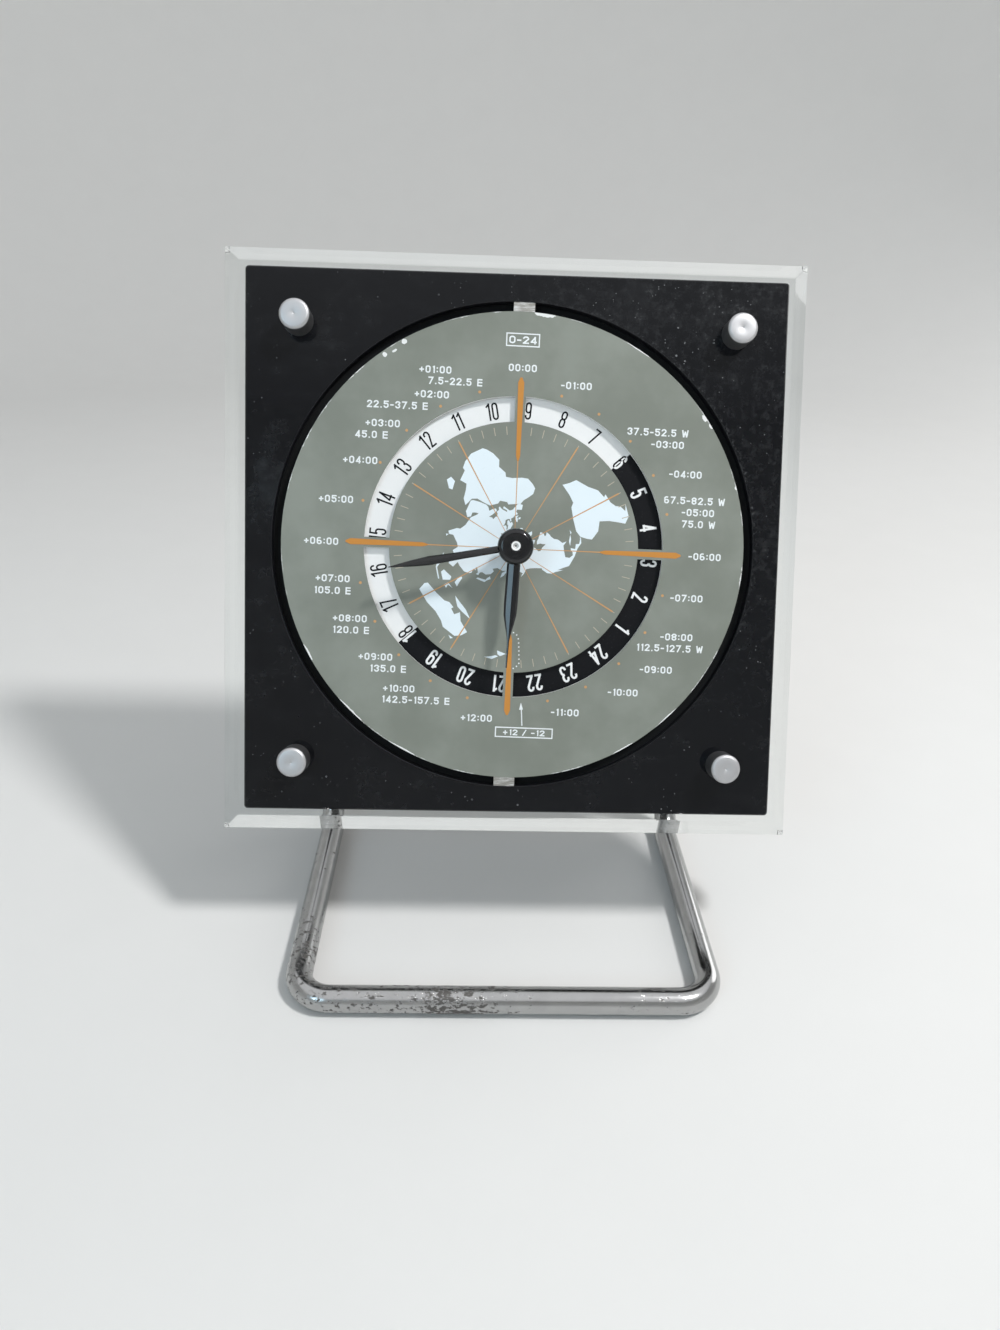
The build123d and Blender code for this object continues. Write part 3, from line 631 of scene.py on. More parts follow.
def square_ring(half, corner, y, steps):
    """A square with rounded corners, clockwise from the top, with a share of its steps on each side."""
    arc_steps = 4
    side_steps = steps // 4 - arc_steps
    inner = half - corner
    points = []
    for quarter in range(4):
        way = quarter * math.pi / 2
        flat = [(-inner + 2 * inner * step / side_steps, half) for step in range(side_steps)]
        bends = [math.pi / 2 * step / arc_steps for step in range(arc_steps)]
        flat += [(inner + corner * math.sin(bend), inner + corner * math.cos(bend)) for bend in bends]
        for x, z in flat:
            turned_x = x * math.cos(way) + z * math.sin(way)
            turned_z = z * math.cos(way) - x * math.sin(way)
            points.append((turned_x, y, turned_z))
    return points


def round_under(outline, radius, y):
    """A circle with one point on the way to each point of an outline."""
    points = []
    for x, _, z in outline:
        reach = math.hypot(x, z)
        points.append((radius * x / reach, y, radius * z / reach))
    return points


def bands(count, pairs):
    """Four-sided faces between pairs of rings that have the same count of points."""
    faces = []
    for a, b in pairs:
        for step in range(count):
            after = (step + 1) % count
            faces.append((a * count + step, a * count + after, b * count + after, b * count + step))
    return faces


def skin(loops, closed=False):
    """A mesh over rings of points that runs back to the first ring, or is capped at both ends."""
    count = len(loops[0])
    points = [point for loop in loops for point in loop]
    pairs = [(level, level + 1) for level in range(len(loops) - 1)]
    if closed:
        faces = bands(count, [*pairs, (len(loops) - 1, 0)])
    else:
        caps = [tuple(range(count)), tuple(range(len(points) - count, len(points)))]
        faces = bands(count, pairs) + caps
    mesh = bpy.data.meshes.new("skin")
    mesh.from_pydata(points, [], faces)
    return mesh


def lathe(profile, steps, closed=False):
    """A turned form about the arbor from (radius, depth) pairs."""
    return skin([ring(radius, y, steps) for radius, y in profile], closed)


def smoothed(mesh, degrees):
    """Smooth shading that breaks at edges past an angle."""
    mesh.polygons.foreach_set("use_smooth", [True] * len(mesh.polygons))
    mesh.set_sharp_from_angle(angle=math.radians(degrees))
    return mesh


def tidied(mesh, smooth=None):
    """Merged and turned outwards, and smooth up to an angle where one is given."""
    work = bmesh.new()
    work.from_mesh(mesh)
    bmesh.ops.remove_doubles(work, verts=work.verts, dist=SAME_PLACE)
    bmesh.ops.recalc_face_normals(work, faces=work.faces)
    work.to_mesh(mesh)
    work.free()
    return mesh if smooth is None else smoothed(mesh, smooth)


def joined(meshes):
    work = bmesh.new()
    for mesh in meshes:
        work.from_mesh(mesh)
    whole = bpy.data.meshes.new("joined")
    work.to_mesh(whole)
    work.free()
    return whole


def add_piece(name, mesh, finish, body, slot, *nodes):
    """A finished piece with its place in its mesh, riding on a body and standing for nodes of the frame."""
    mesh.name = name
    mesh.materials.clear()
    mesh.materials.append(finished(finish))
    piece = bpy.data.objects.new(name, mesh)
    bpy.context.scene.collection.objects.link(piece)
    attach(piece, body)
    if nodes:
        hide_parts(*nodes)


def on_head(mesh):
    mesh.transform(HEAD)
    return mesh


def held(mesh):
    """A mesh on an object that its modifiers can be given to."""
    holder = bpy.data.objects.new("holder", mesh)
    bpy.context.scene.collection.objects.link(holder)
    return holder


def released(holder):
    """The plain mesh that an object's modifiers make, with the object removed."""
    ready = bpy.context.evaluated_depsgraph_get()
    mesh = bpy.data.meshes.new_from_object(holder.evaluated_get(ready), depsgraph=ready)
    bpy.data.objects.remove(holder)
    return mesh


# Flat print, drawn in millimetres with x to the right and y up the dial

PRINT_UNITS = Matrix.Rotation(math.pi / 2, 4, "X") @ Matrix.Scale(MM, 4)

# Corners of outlines nearer than this, in mm, are one corner
NEAR_CORNER = 1e-5


def stroke(points, width, closed=False):
    """Four-sided outlines along a line of points, mitred where it bends."""
    path = [Vector(point) for point in points]
    count = len(path)
    runs = count if closed else count - 1
    legs = [(path[(step + 1) % count] - path[step]).normalized() for step in range(runs)]
    sides = []
    for step, point in enumerate(path):
        ahead = legs[min(step, runs - 1)]
        behind = legs[step - 1] if closed or step else ahead
        way = (ahead + behind).normalized()
        across = Vector((-way.y, way.x)) * (width / 2 / max(0.5, way.dot(ahead)))
        sides.append((point + across, point - across))
    outlines = []
    for step in range(runs):
        left, right = sides[step]
        next_left, next_right = sides[(step + 1) % count]
        outlines.append([right, next_right, next_left, left])
    return outlines


def placed(outlines, x, y, clockwise=0.0):
    """Outlines turned about their own origin and moved to a place."""
    turned = Matrix.Rotation(-clockwise, 2)
    return [[turned @ Vector(point) + Vector((x, y)) for point in outline] for outline in outlines]


def sheet(outlines, thick):
    """One thin solid over everything that lies in any of the outlines."""
    corners, loops = [], []
    for outline in outlines:
        points = [Vector(point) for point in outline]
        area = sum(a.cross(b) for a, b in zip(points, points[1:] + points[:1]))
        loops.append(list(range(len(corners), len(corners) + len(points))))
        corners += points if area > 0 else reversed(points)
    corners, _, faces, _, _, sources = delaunay_2d_cdt(corners, [], loops, 0, NEAR_CORNER, True)
    tops = [list(face) for face, source in zip(faces, sources) if source]
    count = len(corners)
    half = thick / MM / 2
    edges = {(a, b) for face in tops for a, b in zip(face, face[1:] + face[:1])}
    walls = [(b, a, count + a, count + b) for a, b in sorted(edges) if (b, a) not in edges]
    bottoms = [[count + corner for corner in reversed(face)] for face in tops]
    points = [(*corner, level) for level in (half, -half) for corner in corners]
    mesh = bpy.data.meshes.new("sheet")
    mesh.from_pydata(points, [], tops + bottoms + walls)
    return mesh


def arc(x, y, across, up, start, end):
    """Points along part of an ellipse, with its angles anticlockwise from the right in degrees."""
    steps = max(3, round(abs(end - start) / 22.5))
    angles = [math.radians(start + (end - start) * step / steps) for step in range(steps + 1)]
    return [(x + across * math.cos(angle), y + up * math.sin(angle)) for angle in angles]


# Widths of the narrow and wide figures, as shares of a plain figure's
FIGURE_WIDTHS = {"1": 0.55, ":": 0.36, ".": 0.36, " ": 0.55, "-": 0.7, "+": 0.9, "W": 1.35, "/": 0.7}


def figure_lines(figure, width, line):
    """A plain figure's lines in a box one high, as (points, closed)."""
    left, right, middle = line / 2, width - line / 2, width / 2
    low, high, waist, beam, sign = line / 2, 1 - line / 2, 0.52, 0.27, 0.45
    across = (right - left) / 2
    up = max(0.01, min(1.2 * across, (high - waist) / 2))
    hook, heel = (left, high - up - 0.05), (left, low + up + 0.05)

    def over(top):
        return arc(middle, top - up, across, up, 180, 0)

    def under(bottom):
        return arc(middle, bottom + up, across, up, 0, -180)

    stem = 0.72 * width
    bold = line > 0.15
    bowl = waist + (0.02 if bold else 0.08)
    short_tail = arc(middle, high - up, across, up, 180, 45)
    long_tail = [*over(high), (right, high - up - 0.05)]
    tail = short_tail if bold else long_tail
    lines = {
        "0": [(over(high) + under(low), True)],
        "1": [
            ([(right, 0), (right, 1)], False),
            ([(right - 0.17, 0.78), (right, 1 - 0.6 * line)], False),
        ],
        "2": [
            ([hook, *over(high), (right, high - up - 0.08), (left, low)], False),
            ([(0, low), (width, low)], False),
        ],
        "3": [
            ([hook, *over(high), *arc(middle, waist + up, across, up, 0, -90)], False),
            ([*arc(middle, waist - up, across, up, 90, 0), *under(low), heel], False),
        ],
        "4": [
            ([(stem, 0), (stem, 1)], False),
            ([(stem, high), (left, beam)], False),
            ([(0, beam), (width, beam)], False),
        ],
        "5": [
            ([(width, high), (left + 0.03, high), (left + 0.01, waist)], False),
            ([*arc(middle, waist + 0.1 - up, across, up, 155, 0), *under(low), heel], False),
        ],
        "6": [
            (over(bowl) + under(low), True),
            ([(left, low + up), *tail], False),
        ],
        "7": [([(0, high), (right, high), (0.27 * width, 0)], False)],
        "8": [(over(high) + under(waist), True), (over(waist) + under(low), True)],
        "+": [
            ([(0, sign), (width, sign)], False),
            ([(middle, sign - middle), (middle, sign + middle)], False),
        ],
        "-": [([(0, sign), (width, sign)], False)],
        ":": [([(middle, y), (middle, y + line)], False) for y in (0.14, 0.6)],
        ".": [([(middle, 0), (middle, line)], False)],
        "/": [([(0, 0), (width, 1)], False)],
        "E": [
            ([(left, 0), (left, 1)], False),
            *[([(left, y), (width, y)], False) for y in (low, waist, high)],
        ],
        "W": [
            ([(left, 1), (0.28 * width, 0)], False),
            ([(0.28 * width, 0), (middle, 0.8)], False),
            ([(middle, 0.8), (0.72 * width, 0)], False),
            ([(0.72 * width, 0), (right, 1)], False),
        ],
        " ": [],
    }
    if figure == "9":
        turned = figure_lines("6", width, line)
        return [([(width - x, 1 - y) for x, y in points], closed) for points, closed in turned]
    return lines[figure]


def figures(text, height, width, line, gap):
    """Outlines of plain figures of a height in mm, centred, with the other sizes as shares of that height."""
    outlines, reach = [], 0.0
    for figure in text:
        own_width = width * FIGURE_WIDTHS.get(figure, 1.0)
        for points, closed in figure_lines(figure, own_width, line):
            outlines += stroke([(x + reach, y) for x, y in points], line, closed)
        reach += own_width + gap
    middle = Vector(((reach - gap) / 2, 0.5))
    return [[(point - middle) * height for point in outline] for outline in outlines]


def printed(mesh, level, clockwise, thick):
    """A flat print turned about the arbor and laid on a face at a level of the head's depth."""
    mesh.transform(PRINT_UNITS)
    lift = Matrix.Translation((0.0, level - thick / 2, 0.0))
    mesh.transform(HEAD @ lift @ Matrix.Rotation(clockwise, 4, "Y"))
    return mesh


# Geometry Nodes


def new_tree(name, sockets):
    """A tree with named inputs, as its graph and the node that gives them."""
    tree = bpy.data.node_groups.new(name, "GeometryNodeTree")
    for socket, kind in sockets.items():
        tree.interface.new_socket(socket, in_out="INPUT", socket_type=f"NodeSocket{kind}")
    tree.interface.new_socket("Geometry", in_out="OUTPUT", socket_type="NodeSocketGeometry")
    graph = Graph(tree)
    return graph, graph.node("NodeGroupInput")


def end_tree(graph, geometry, finish):
    """Ends a tree in real faces with a material."""
    solid = graph.node("GeometryNodeRealizeInstances", {"Geometry": geometry})
    dressed = graph.node("GeometryNodeSetMaterial", {"Geometry": solid, "Material": finish})
    output = graph.tree.nodes.new("NodeGroupOutput")
    graph.tree.links.new(dressed.socket, output.inputs["Geometry"])
    return graph.tree


def polar_repeat():
    """A tree that repeats a part round the arbor, each copy turned with its place."""
    graph, given = new_tree("polar_repeat", {
        "Part": "Geometry",
        "Count": "Int",
        "Radius": "Float",
        "First Angle": "Float",
        "Step Angle": "Float",
        "Finish": "Material",
    })
    angle = graph.node("GeometryNodeInputIndex") * given.of("Step Angle") + given.of("First Angle")
    radius = given.of("Radius")
    place = graph.node("ShaderNodeCombineXYZ", {"X": angle.sine() * radius, "Z": angle.cosine() * radius})
    points = graph.node("GeometryNodePoints", {"Count": given.of("Count"), "Position": place})
    euler = graph.node("ShaderNodeCombineXYZ", {"Y": angle})
    rotation = graph.node("FunctionNodeEulerToRotation", {"Euler": euler})
    sockets = {"Points": points, "Instance": given.of("Part"), "Rotation": rotation}
    return end_tree(graph, graph.node("GeometryNodeInstanceOnPoints", sockets), given.of("Finish"))


def bent_rod():
    """A tree that rounds the corners of a path and sweeps a round rod along it."""
    graph, given = new_tree("bent_rod", {
        "Path": "Geometry",
        "Rod Radius": "Float",
        "Bend Radius": "Float",
        "Bend Steps": "Int",
        "Sides": "Int",
        "Finish": "Material",
    })
    path = graph.node("GeometryNodeMeshToCurve", {"Mesh": given.of("Path")})
    sockets = {"Curve": path, "Count": given.of("Bend Steps"), "Radius": given.of("Bend Radius")}
    bends = graph.node("GeometryNodeFilletCurve", sockets, mode="POLY")
    sockets = {"Resolution": given.of("Sides"), "Radius": given.of("Rod Radius")}
    circle = graph.node("GeometryNodeCurvePrimitiveCircle", sockets)
    sockets = {"Curve": bends, "Profile Curve": circle, "Fill Caps": True}
    return end_tree(graph, graph.node("GeometryNodeCurveToMesh", sockets), given.of("Finish"))


def from_tree(tree, mesh, **inputs):
    """The plain mesh that a tree makes from a starting mesh and its named inputs."""
    holder = held(mesh)
    modifier = holder.modifiers.new("nodes", "NODES")
    modifier.node_group = tree
    names = {key.replace("_", " ").title(): value for key, value in inputs.items()}
    for item in tree.interface.items_tree:
        if item.in_out == "INPUT" and item.name in names:
            modifier[item.identifier] = names[item.name]
    return released(holder)


def repeated(part, finish, count, step, radius=0.0, first=0.0):
    """Copies of a part round the arbor as one mesh on the head."""
    tree = bpy.data.node_groups.get("polar_repeat") or polar_repeat()
    place = {"count": count, "radius": radius, "first_angle": first, "step_angle": step}
    return on_head(from_tree(tree, part, finish=finished(finish), **place))


def flat_mark(outline, level, thick):
    """A flat mark from an outline round the arbor, printed on a level."""
    return tidied(skin([[(x, y, z) for x, z in outline] for y in (level - thick, level)]))


# Land outlines of the map, as (longitude, latitude)

LANDS = {
    "africa": (
        (-6, 36), (3, 37), (10, 37), (11, 34), (19, 30.5), (22, 33), (32, 31), (34, 28), (37, 22), (39, 16),
        (43, 12), (51, 12), (48, 5), (42, -1), (39, -6), (41, -14), (35, -20), (35, -24), (32, -29),
        (27, -34), (20, -35), (18, -32), (15, -26), (12, -17), (13, -9), (9, -1), (9, 4), (4, 6), (-4, 5),
        (-9, 5), (-14, 10), (-17, 14), (-17, 21), (-13, 27), (-9, 31),
    ),
    "madagascar": ((49, -12), (50, -16), (47, -25), (44, -24), (44, -17)),
    "eurasia": (
        (-9, 37), (-9, 43), (-2, 43.5), (-1, 46), (-4, 48.5), (2, 51), (4, 53), (8, 54), (8, 57),
        (10.5, 57.5), (10.5, 54.5), (14, 54), (19, 54.5), (21, 57), (24, 59), (29, 60), (22, 60.5),
        (21.5, 63), (25, 65.5), (22, 66), (17, 61.5), (18.5, 60), (16.5, 56.5), (14, 55.5), (12.5, 56),
        (11, 59), (7, 58), (5, 61), (12, 65.5), (18, 69.5), (26, 71), (32, 70), (41, 67), (44, 66),
        (46, 68), (54, 68.5), (60, 69), (68, 69), (68, 73), (73, 72), (80, 73), (88, 75.5), (104, 77.5),
        (113, 74), (127, 73), (140, 72.5), (160, 70), (170, 69.5), (180, 69), (190, 66), (180, 65),
        (178, 62.5), (170, 60), (163, 58), (162, 55), (157, 51), (156, 57), (163, 61.5), (155, 59.5),
        (142, 59), (136, 54.5), (141, 53), (140, 48), (135, 43.5), (129, 42), (127.5, 39.5), (129, 36),
        (126, 34.5), (126, 37.5), (121.5, 39.5), (118, 39), (122, 37), (119, 35), (122, 31), (121, 28),
        (117, 23.5), (110, 21), (106, 20), (109, 13), (105, 9), (100, 13.5), (103, 4), (103.5, 1.5),
        (100, 6), (98, 10), (97, 17), (94, 16), (91, 22), (87, 21), (80, 15), (80, 10), (77.5, 8), (73, 17),
        (72.5, 21), (67, 25), (57, 26), (50, 30), (48, 30), (50, 26.5), (52, 24), (56, 25.5), (59, 22.5),
        (55, 17), (45, 12.8), (43, 14), (39, 21), (35, 28), (34.5, 31.5), (36, 36), (30, 36.5), (27, 37.5),
        (27, 40), (29, 41), (36, 42), (41, 41.5), (38, 44.5), (38, 47), (33, 46), (31, 46.5), (28, 44),
        (28, 41.5), (24, 40.5), (23, 37.5), (21.5, 37), (19.5, 41), (13.5, 45.5), (13, 43.5), (18, 40),
        (16, 38), (12, 42), (9, 44.3), (3.5, 43.3), (3, 42), (0, 39.5), (-2, 36.8), (-5.5, 36.2),
    ),
    "north_america": (
        (-168, 66), (-162, 69.5), (-156, 71), (-141, 69.7), (-128, 70), (-115, 68), (-108, 68), (-95, 68),
        (-94, 71.5), (-86, 69.5), (-82, 68), (-87, 64), (-94, 60.5), (-93, 58), (-85, 55.5), (-82, 53),
        (-79.5, 51.5), (-79, 55), (-77, 57.5), (-78, 62), (-70, 61), (-66, 58.5), (-61, 56), (-56, 52.5),
        (-60, 50), (-66, 50), (-65, 48), (-61, 46), (-66, 44), (-70, 43), (-74, 40.5), (-76, 36), (-81, 31),
        (-80, 26), (-82, 28), (-84, 30), (-90, 29.5), (-97, 27), (-97, 22), (-94, 18.3), (-91, 19),
        (-90, 21), (-87, 21.3), (-88, 16), (-83.5, 15), (-83.5, 11), (-80, 9.3), (-77.5, 9), (-79, 8),
        (-83, 8.3), (-87.5, 13), (-95, 16), (-105, 20), (-109, 26), (-114, 31.5), (-111, 25), (-109.7, 23),
        (-115, 30), (-117, 32.5), (-121, 35), (-124, 40), (-124.5, 47), (-123, 49), (-130, 55), (-138, 59),
        (-147, 61), (-152, 59), (-158, 56.5), (-164, 54.8), (-158, 58.5), (-165, 61.5), (-161, 64.5),
    ),
    "south_america": (
        (-77.5, 8.5), (-72, 12), (-62, 10.5), (-52, 5), (-50, 0), (-44, -2.5), (-35, -6), (-38, -13),
        (-40, -21), (-48, -26), (-53, -33), (-58, -35), (-57, -38), (-62, -39), (-65, -43), (-66, -48),
        (-69, -52), (-66, -55), (-72, -54), (-75, -48), (-73.5, -40), (-71.5, -30), (-70, -18.5),
        (-76, -14), (-81, -5), (-80, 1),
    ),
    "greenland": (
        (-73, 78), (-60, 82), (-33, 83.5), (-18, 80), (-20, 74), (-25, 70), (-40, 65), (-44, 60),
        (-50, 62.5), (-54, 69), (-58, 75.5),
    ),
    "australia": (
        (114, -22), (122, -18), (129, -15), (132, -11.5), (136.5, -12), (136, -15), (140, -17.5),
        (142, -11), (146, -19), (153, -26), (151, -33), (148, -38), (140, -38), (137, -34), (131, -31.5),
        (124, -33.5), (115.5, -34.5), (113.5, -26),
    ),
    "tasmania": ((145, -41), (148, -41), (147, -43.5)),
    "new_zealand_north": ((173, -35), (178, -38), (175, -41.5), (173.5, -39.5)),
    "new_zealand_south": ((172.5, -41), (174, -42), (171, -46.5), (167, -46), (170.5, -43)),
    "japan": (
        (130.5, 31.5), (136, 34), (141, 36), (142, 39.5), (145, 43.5), (141.5, 45.5), (140, 42), (140, 39),
        (136.5, 37), (131, 34),
    ),
    "sumatra_and_java": (
        (95.5, 5.5), (103, 0), (106, -5.5), (114.5, -7.5), (114, -8.7), (105.5, -7), (101, -3),
    ),
    "borneo": ((109, 1.5), (116.5, 7), (118.5, 4), (116, -4), (110, -2.5)),
    "sulawesi": ((119.5, 0.5), (125, 1.5), (121, -1), (122.5, -5), (119.5, -5)),
    "new_guinea": ((131, -1), (137, -2), (144, -4), (150.5, -10.5), (143, -9), (138, -8), (134, -4)),
    "philippines": ((120.5, 18), (122, 18), (124, 12.5), (126, 7), (122, 7.5), (120, 14)),
    "britain": ((-5.5, 50), (1.5, 51.5), (0, 54), (-2, 57.5), (-5, 58.5), (-5, 54), (-3, 53)),
    "ireland": ((-10, 52), (-6, 52.3), (-6, 55), (-9.5, 54)),
    "iceland": ((-24, 65.5), (-16, 66.3), (-14, 64.7), (-20, 63.5)),
    "sri_lanka": ((80, 9.5), (82, 7), (80.3, 6)),
    "cuba": ((-85, 22), (-80, 23), (-74, 20), (-78, 20)),
    "hispaniola": ((-74, 19.5), (-69, 19), (-72, 18)),
    "arctic_east": ((-85, 73), (-78, 73), (-62, 66), (-66, 62.5), (-74, 65), (-80, 70)),
    "arctic_west": ((-118, 72), (-105, 73), (-102, 69), (-115, 69)),
    "arctic_north": ((-90, 77), (-85, 82), (-63, 82.5), (-75, 78)),
}

# Lines of the hour labels at places in mm: a zone's hours from the meridian, its middle longitude or its span
LABELS = (
    ("00:00", 0.2, 39.8),
    ("-01:00", 12.3, 36.5),
    ("+01:00", -19.1, 38.5),
    ("7.5-22.5 E", -14.6, 36.1),
    ("+02:00", -19.7, 33.1),
    ("22.5-37.5 E", -27.2, 30.4),
    ("+03:00", -30.3, 26.3),
    ("45.0 E", -32.7, 23.7),
    ("+04:00", -35.0, 18.0),
    ("+05:00", -40.1, 9.2),
    ("+06:00", -43.1, -0.2),
    ("+07:00", -40.3, -8.4),
    ("105.0 E", -40.3, -11.1),
    ("+08:00", -36.2, -17.2),
    ("120.0 E", -35.9, -19.8),
    ("+09:00", -30.2, -25.6),
    ("135.0 E", -27.3, -28.2),
    ("+10:00", -24.7, -32.6),
    ("142.5-157.5 E", -20.8, -35.1),
    ("+12:00", -6.9, -38.6),
    ("-11:00", 13.2, -36.6),
    ("-10:00", 26.2, -31.5),
    ("-09:00", 33.5, -26.0),
    ("-08:00", 37.8, -18.4),
    ("112.5-127.5 W", 36.4, -21.0),
    ("-07:00", 39.6, -9.5),
    ("-06:00", 43.2, 0.0),
    ("67.5-82.5 W", 40.2, 12.4),
    ("-05:00", 41.1, 9.8),
    ("75.0 W", 41.4, 7.2),
    ("-04:00", 37.8, 18.2),
    ("37.5-52.5 W", 31.1, 27.2),
    ("-03:00", 33.4, 24.6),
)

# Dots of the date line
DATE_LINE = (
    (0.7, -18.9), (1.45, -19.4), (1.85, -20.25), (1.97, -21.2), (2.04, -22.1), (2.1, -23.0), (2.15, -23.9),
    (2.2, -24.85), (2.22, -25.8), (1.7, -26.5), (1.0, -27.0),
)


class ClockPiece:
    """What every operator of the clock shares"""

    bl_options = {"REGISTER", "UNDO"}


class CLOCK_OT_construction(ClockPiece, bpy.types.Operator):
    """Gives every construction node the finish of its material slot"""

    bl_idname = "clock.construction"
    bl_label = "Construction finishes"

    def execute(self, context):
        for part in frame["record"]["subparts"]:
            node, slot = part["node"], part["material_slot"]
            finish = NODE_FINISHES.get(node, SLOT_FINISHES.get(slot, slot))
            for place in frame["nodes"][node].material_slots:
                place.material = finished(finish)
        return {"FINISHED"}


class CLOCK_OT_plates(ClockPiece, bpy.types.Operator):
    """Makes the clear plate and the black panel with eased, polished edges"""

    bl_idname = "clock.plates"
    bl_label = "Clear plate and black panel"

    def execute(self, context):
        sizes = context.scene.clock_sizes
        self.black_panel(sizes)
        self.clear_plate(sizes)
        return {"FINISHED"}

    def black_panel(self, sizes):
        half, back = PANEL[1].x, PANEL[1].y + CONTACT
        ease, hole_ease = sizes.edge_ease, 0.25 * sizes.edge_ease
        corner, steps, hole = sizes.panel_corner, sizes.round_steps, CARRIER_RADIUS - CONTACT
        eased = square_ring(half - ease, corner, 0.0, steps)
        loops = [
            round_under(eased, hole + hole_ease, 0.0),
            eased,
            square_ring(half, corner, ease, steps),
            square_ring(half, corner, back, steps),
            round_under(eased, hole, back),
            round_under(eased, hole, hole_ease),
        ]
        mesh = on_head(tidied(skin(loops, closed=True), smooth=30))
        add_piece("panel_polished", mesh, "polished_black", "clock", "black_gloss", "black_panel")

    def clear_plate(self, sizes):
        half, front, back = CLEAR[1].x, CLEAR[0].y, CLEAR[1].y + CONTACT
        corner = ease = 0.5 * sizes.edge_ease
        steps, hole = sizes.round_steps, sizes.hole_radius + CONTACT
        face, bevel_foot = half - sizes.bevel_side, front + sizes.bevel_depth
        slope = math.hypot(sizes.bevel_side, sizes.bevel_depth)
        side_share = ease * sizes.bevel_side / slope
        depth_share = ease * sizes.bevel_depth / slope
        outline = square_ring(face - ease, corner, front, steps)
        loops = [
            round_under(outline, hole, front),
            outline,
            square_ring(face + side_share, corner, front + depth_share, steps),
            square_ring(half - side_share, corner, bevel_foot - depth_share, steps),
            square_ring(half, corner, bevel_foot + ease, steps),
            square_ring(half, corner, back - ease, steps),
            square_ring(half - ease, corner, back, steps),
            round_under(outline, hole, back),
        ]
        mesh = on_head(tidied(skin(loops, closed=True)))
        add_piece("clear_plate_polished", mesh, "clear_acrylic", "clock", "clear_acrylic", "clear_plate")


class CLOCK_OT_mouldings(ClockPiece, bpy.types.Operator):
    """Rounds the outer edges of the moulded back frame, rear case and battery door"""

    bl_idname = "clock.mouldings"
    bl_label = "Moulded back"

    def execute(self, context):
        ease = context.scene.clock_sizes.mould_ease
        foot, back = (corner.y for corner in head_box("rear_case"))
        self.mould("back_frame", "clock", foot, 0.75 * ease)
        self.mould("rear_case", "clock", back, ease)
        self.mould("battery_door", "battery_door", back, 0.3 * ease)
        return {"FINISHED"}

    def mould(self, node, body, level, ease):
        """A merged copy of a node, with the outline of one of its levels rounded."""
        flat = math.radians(0.5)
        rounding = {"offset": ease, "offset_type": "OFFSET", "segments": 4, "profile": 0.5, "affect": "EDGES"}
        work = bmesh.new()
        work.from_mesh(frame["nodes"][node].data)
        work.transform(HEAD.inverted())
        bmesh.ops.remove_doubles(work, verts=work.verts, dist=SAME_PLACE)
        bmesh.ops.dissolve_limit(work, angle_limit=flat, verts=work.verts, edges=work.edges)
        bmesh.ops.bevel(work, geom=self.outline(work, level), **rounding)
        mesh = bpy.data.meshes.new(node)
        work.to_mesh(mesh)
        work.free()
        holder = held(smoothed(mesh, 30))
        holder.modifiers.new("flat_faces", "WEIGHTED_NORMAL").keep_sharp = True
        mesh = on_head(released(holder))
        add_piece(f"{node}_moulded", mesh, "moulded_black", body, "case_black", node)

    def outline(self, work, level):
        """The tallest run of sharp edges at a level."""
        corner, on_level = math.radians(60), 0.001 * MM
        loose = set()
        for edge in work.edges:
            if edge.is_convex and edge.calc_face_angle() > corner:
                if all(abs(vertex.co.y - level) < on_level for vertex in edge.verts):
                    loose.add(edge)
        runs = []
        while loose:
            run = [loose.pop()]
            for edge in run:
                for vertex in edge.verts:
                    following = [other for other in vertex.link_edges if other in loose]
                    loose.difference_update(following)
                    run += following
            runs.append(run)
        return max(runs, key=self.height)

    def height(self, run):
        levels = [edge.verts[0].co.z for edge in run]
        return max(levels) - min(levels)


class CLOCK_OT_studs(ClockPiece, bpy.types.Operator):
    """Turns the four corner studs"""

    bl_idname = "clock.studs"
    bl_label = "Corner studs"

    def execute(self, context):
        sizes = context.scene.clock_sizes
        face, foot = STUDS[0].y, STUDS[1].y
        radius, chamfer, shank = sizes.stud_radius, sizes.stud_chamfer, sizes.stud_shank
        mark, ease = 0.16 * MM, 0.12 * MM
        profile = [
            (0.02 * MM, face + mark),
            (mark, face + 0.05 * MM),
            (mark + ease, face),
            (radius * 0.5, face),
            (radius - chamfer - ease, face),
            (radius - chamfer + ease / 2, face + ease / 2),
            (radius - ease / 2, face + chamfer - ease / 2),
            (radius, face + chamfer + ease),
            (radius, -ease),
            (radius - ease, 0.0),
            (shank, 0.0),
            (shank, foot),
        ]
        stud = tidied(lathe(profile, steps=64), smooth=28)
        turning = stud.attributes.new("turning", "FLOAT", "POINT")
        for item, vertex in zip(turning.data, stud.vertices):
            item.value = math.hypot(vertex.co.x, vertex.co.z) / MM
        reach = (STUDS[1].x - radius) * math.sqrt(2)
        mesh = repeated(stud, "turned_aluminium", 4, math.pi / 2, reach, first=math.pi / 4)
        add_piece("studs_turned", mesh, "turned_aluminium", "clock", "turned_aluminium", "corner_studs")
        return {"FINISHED"}


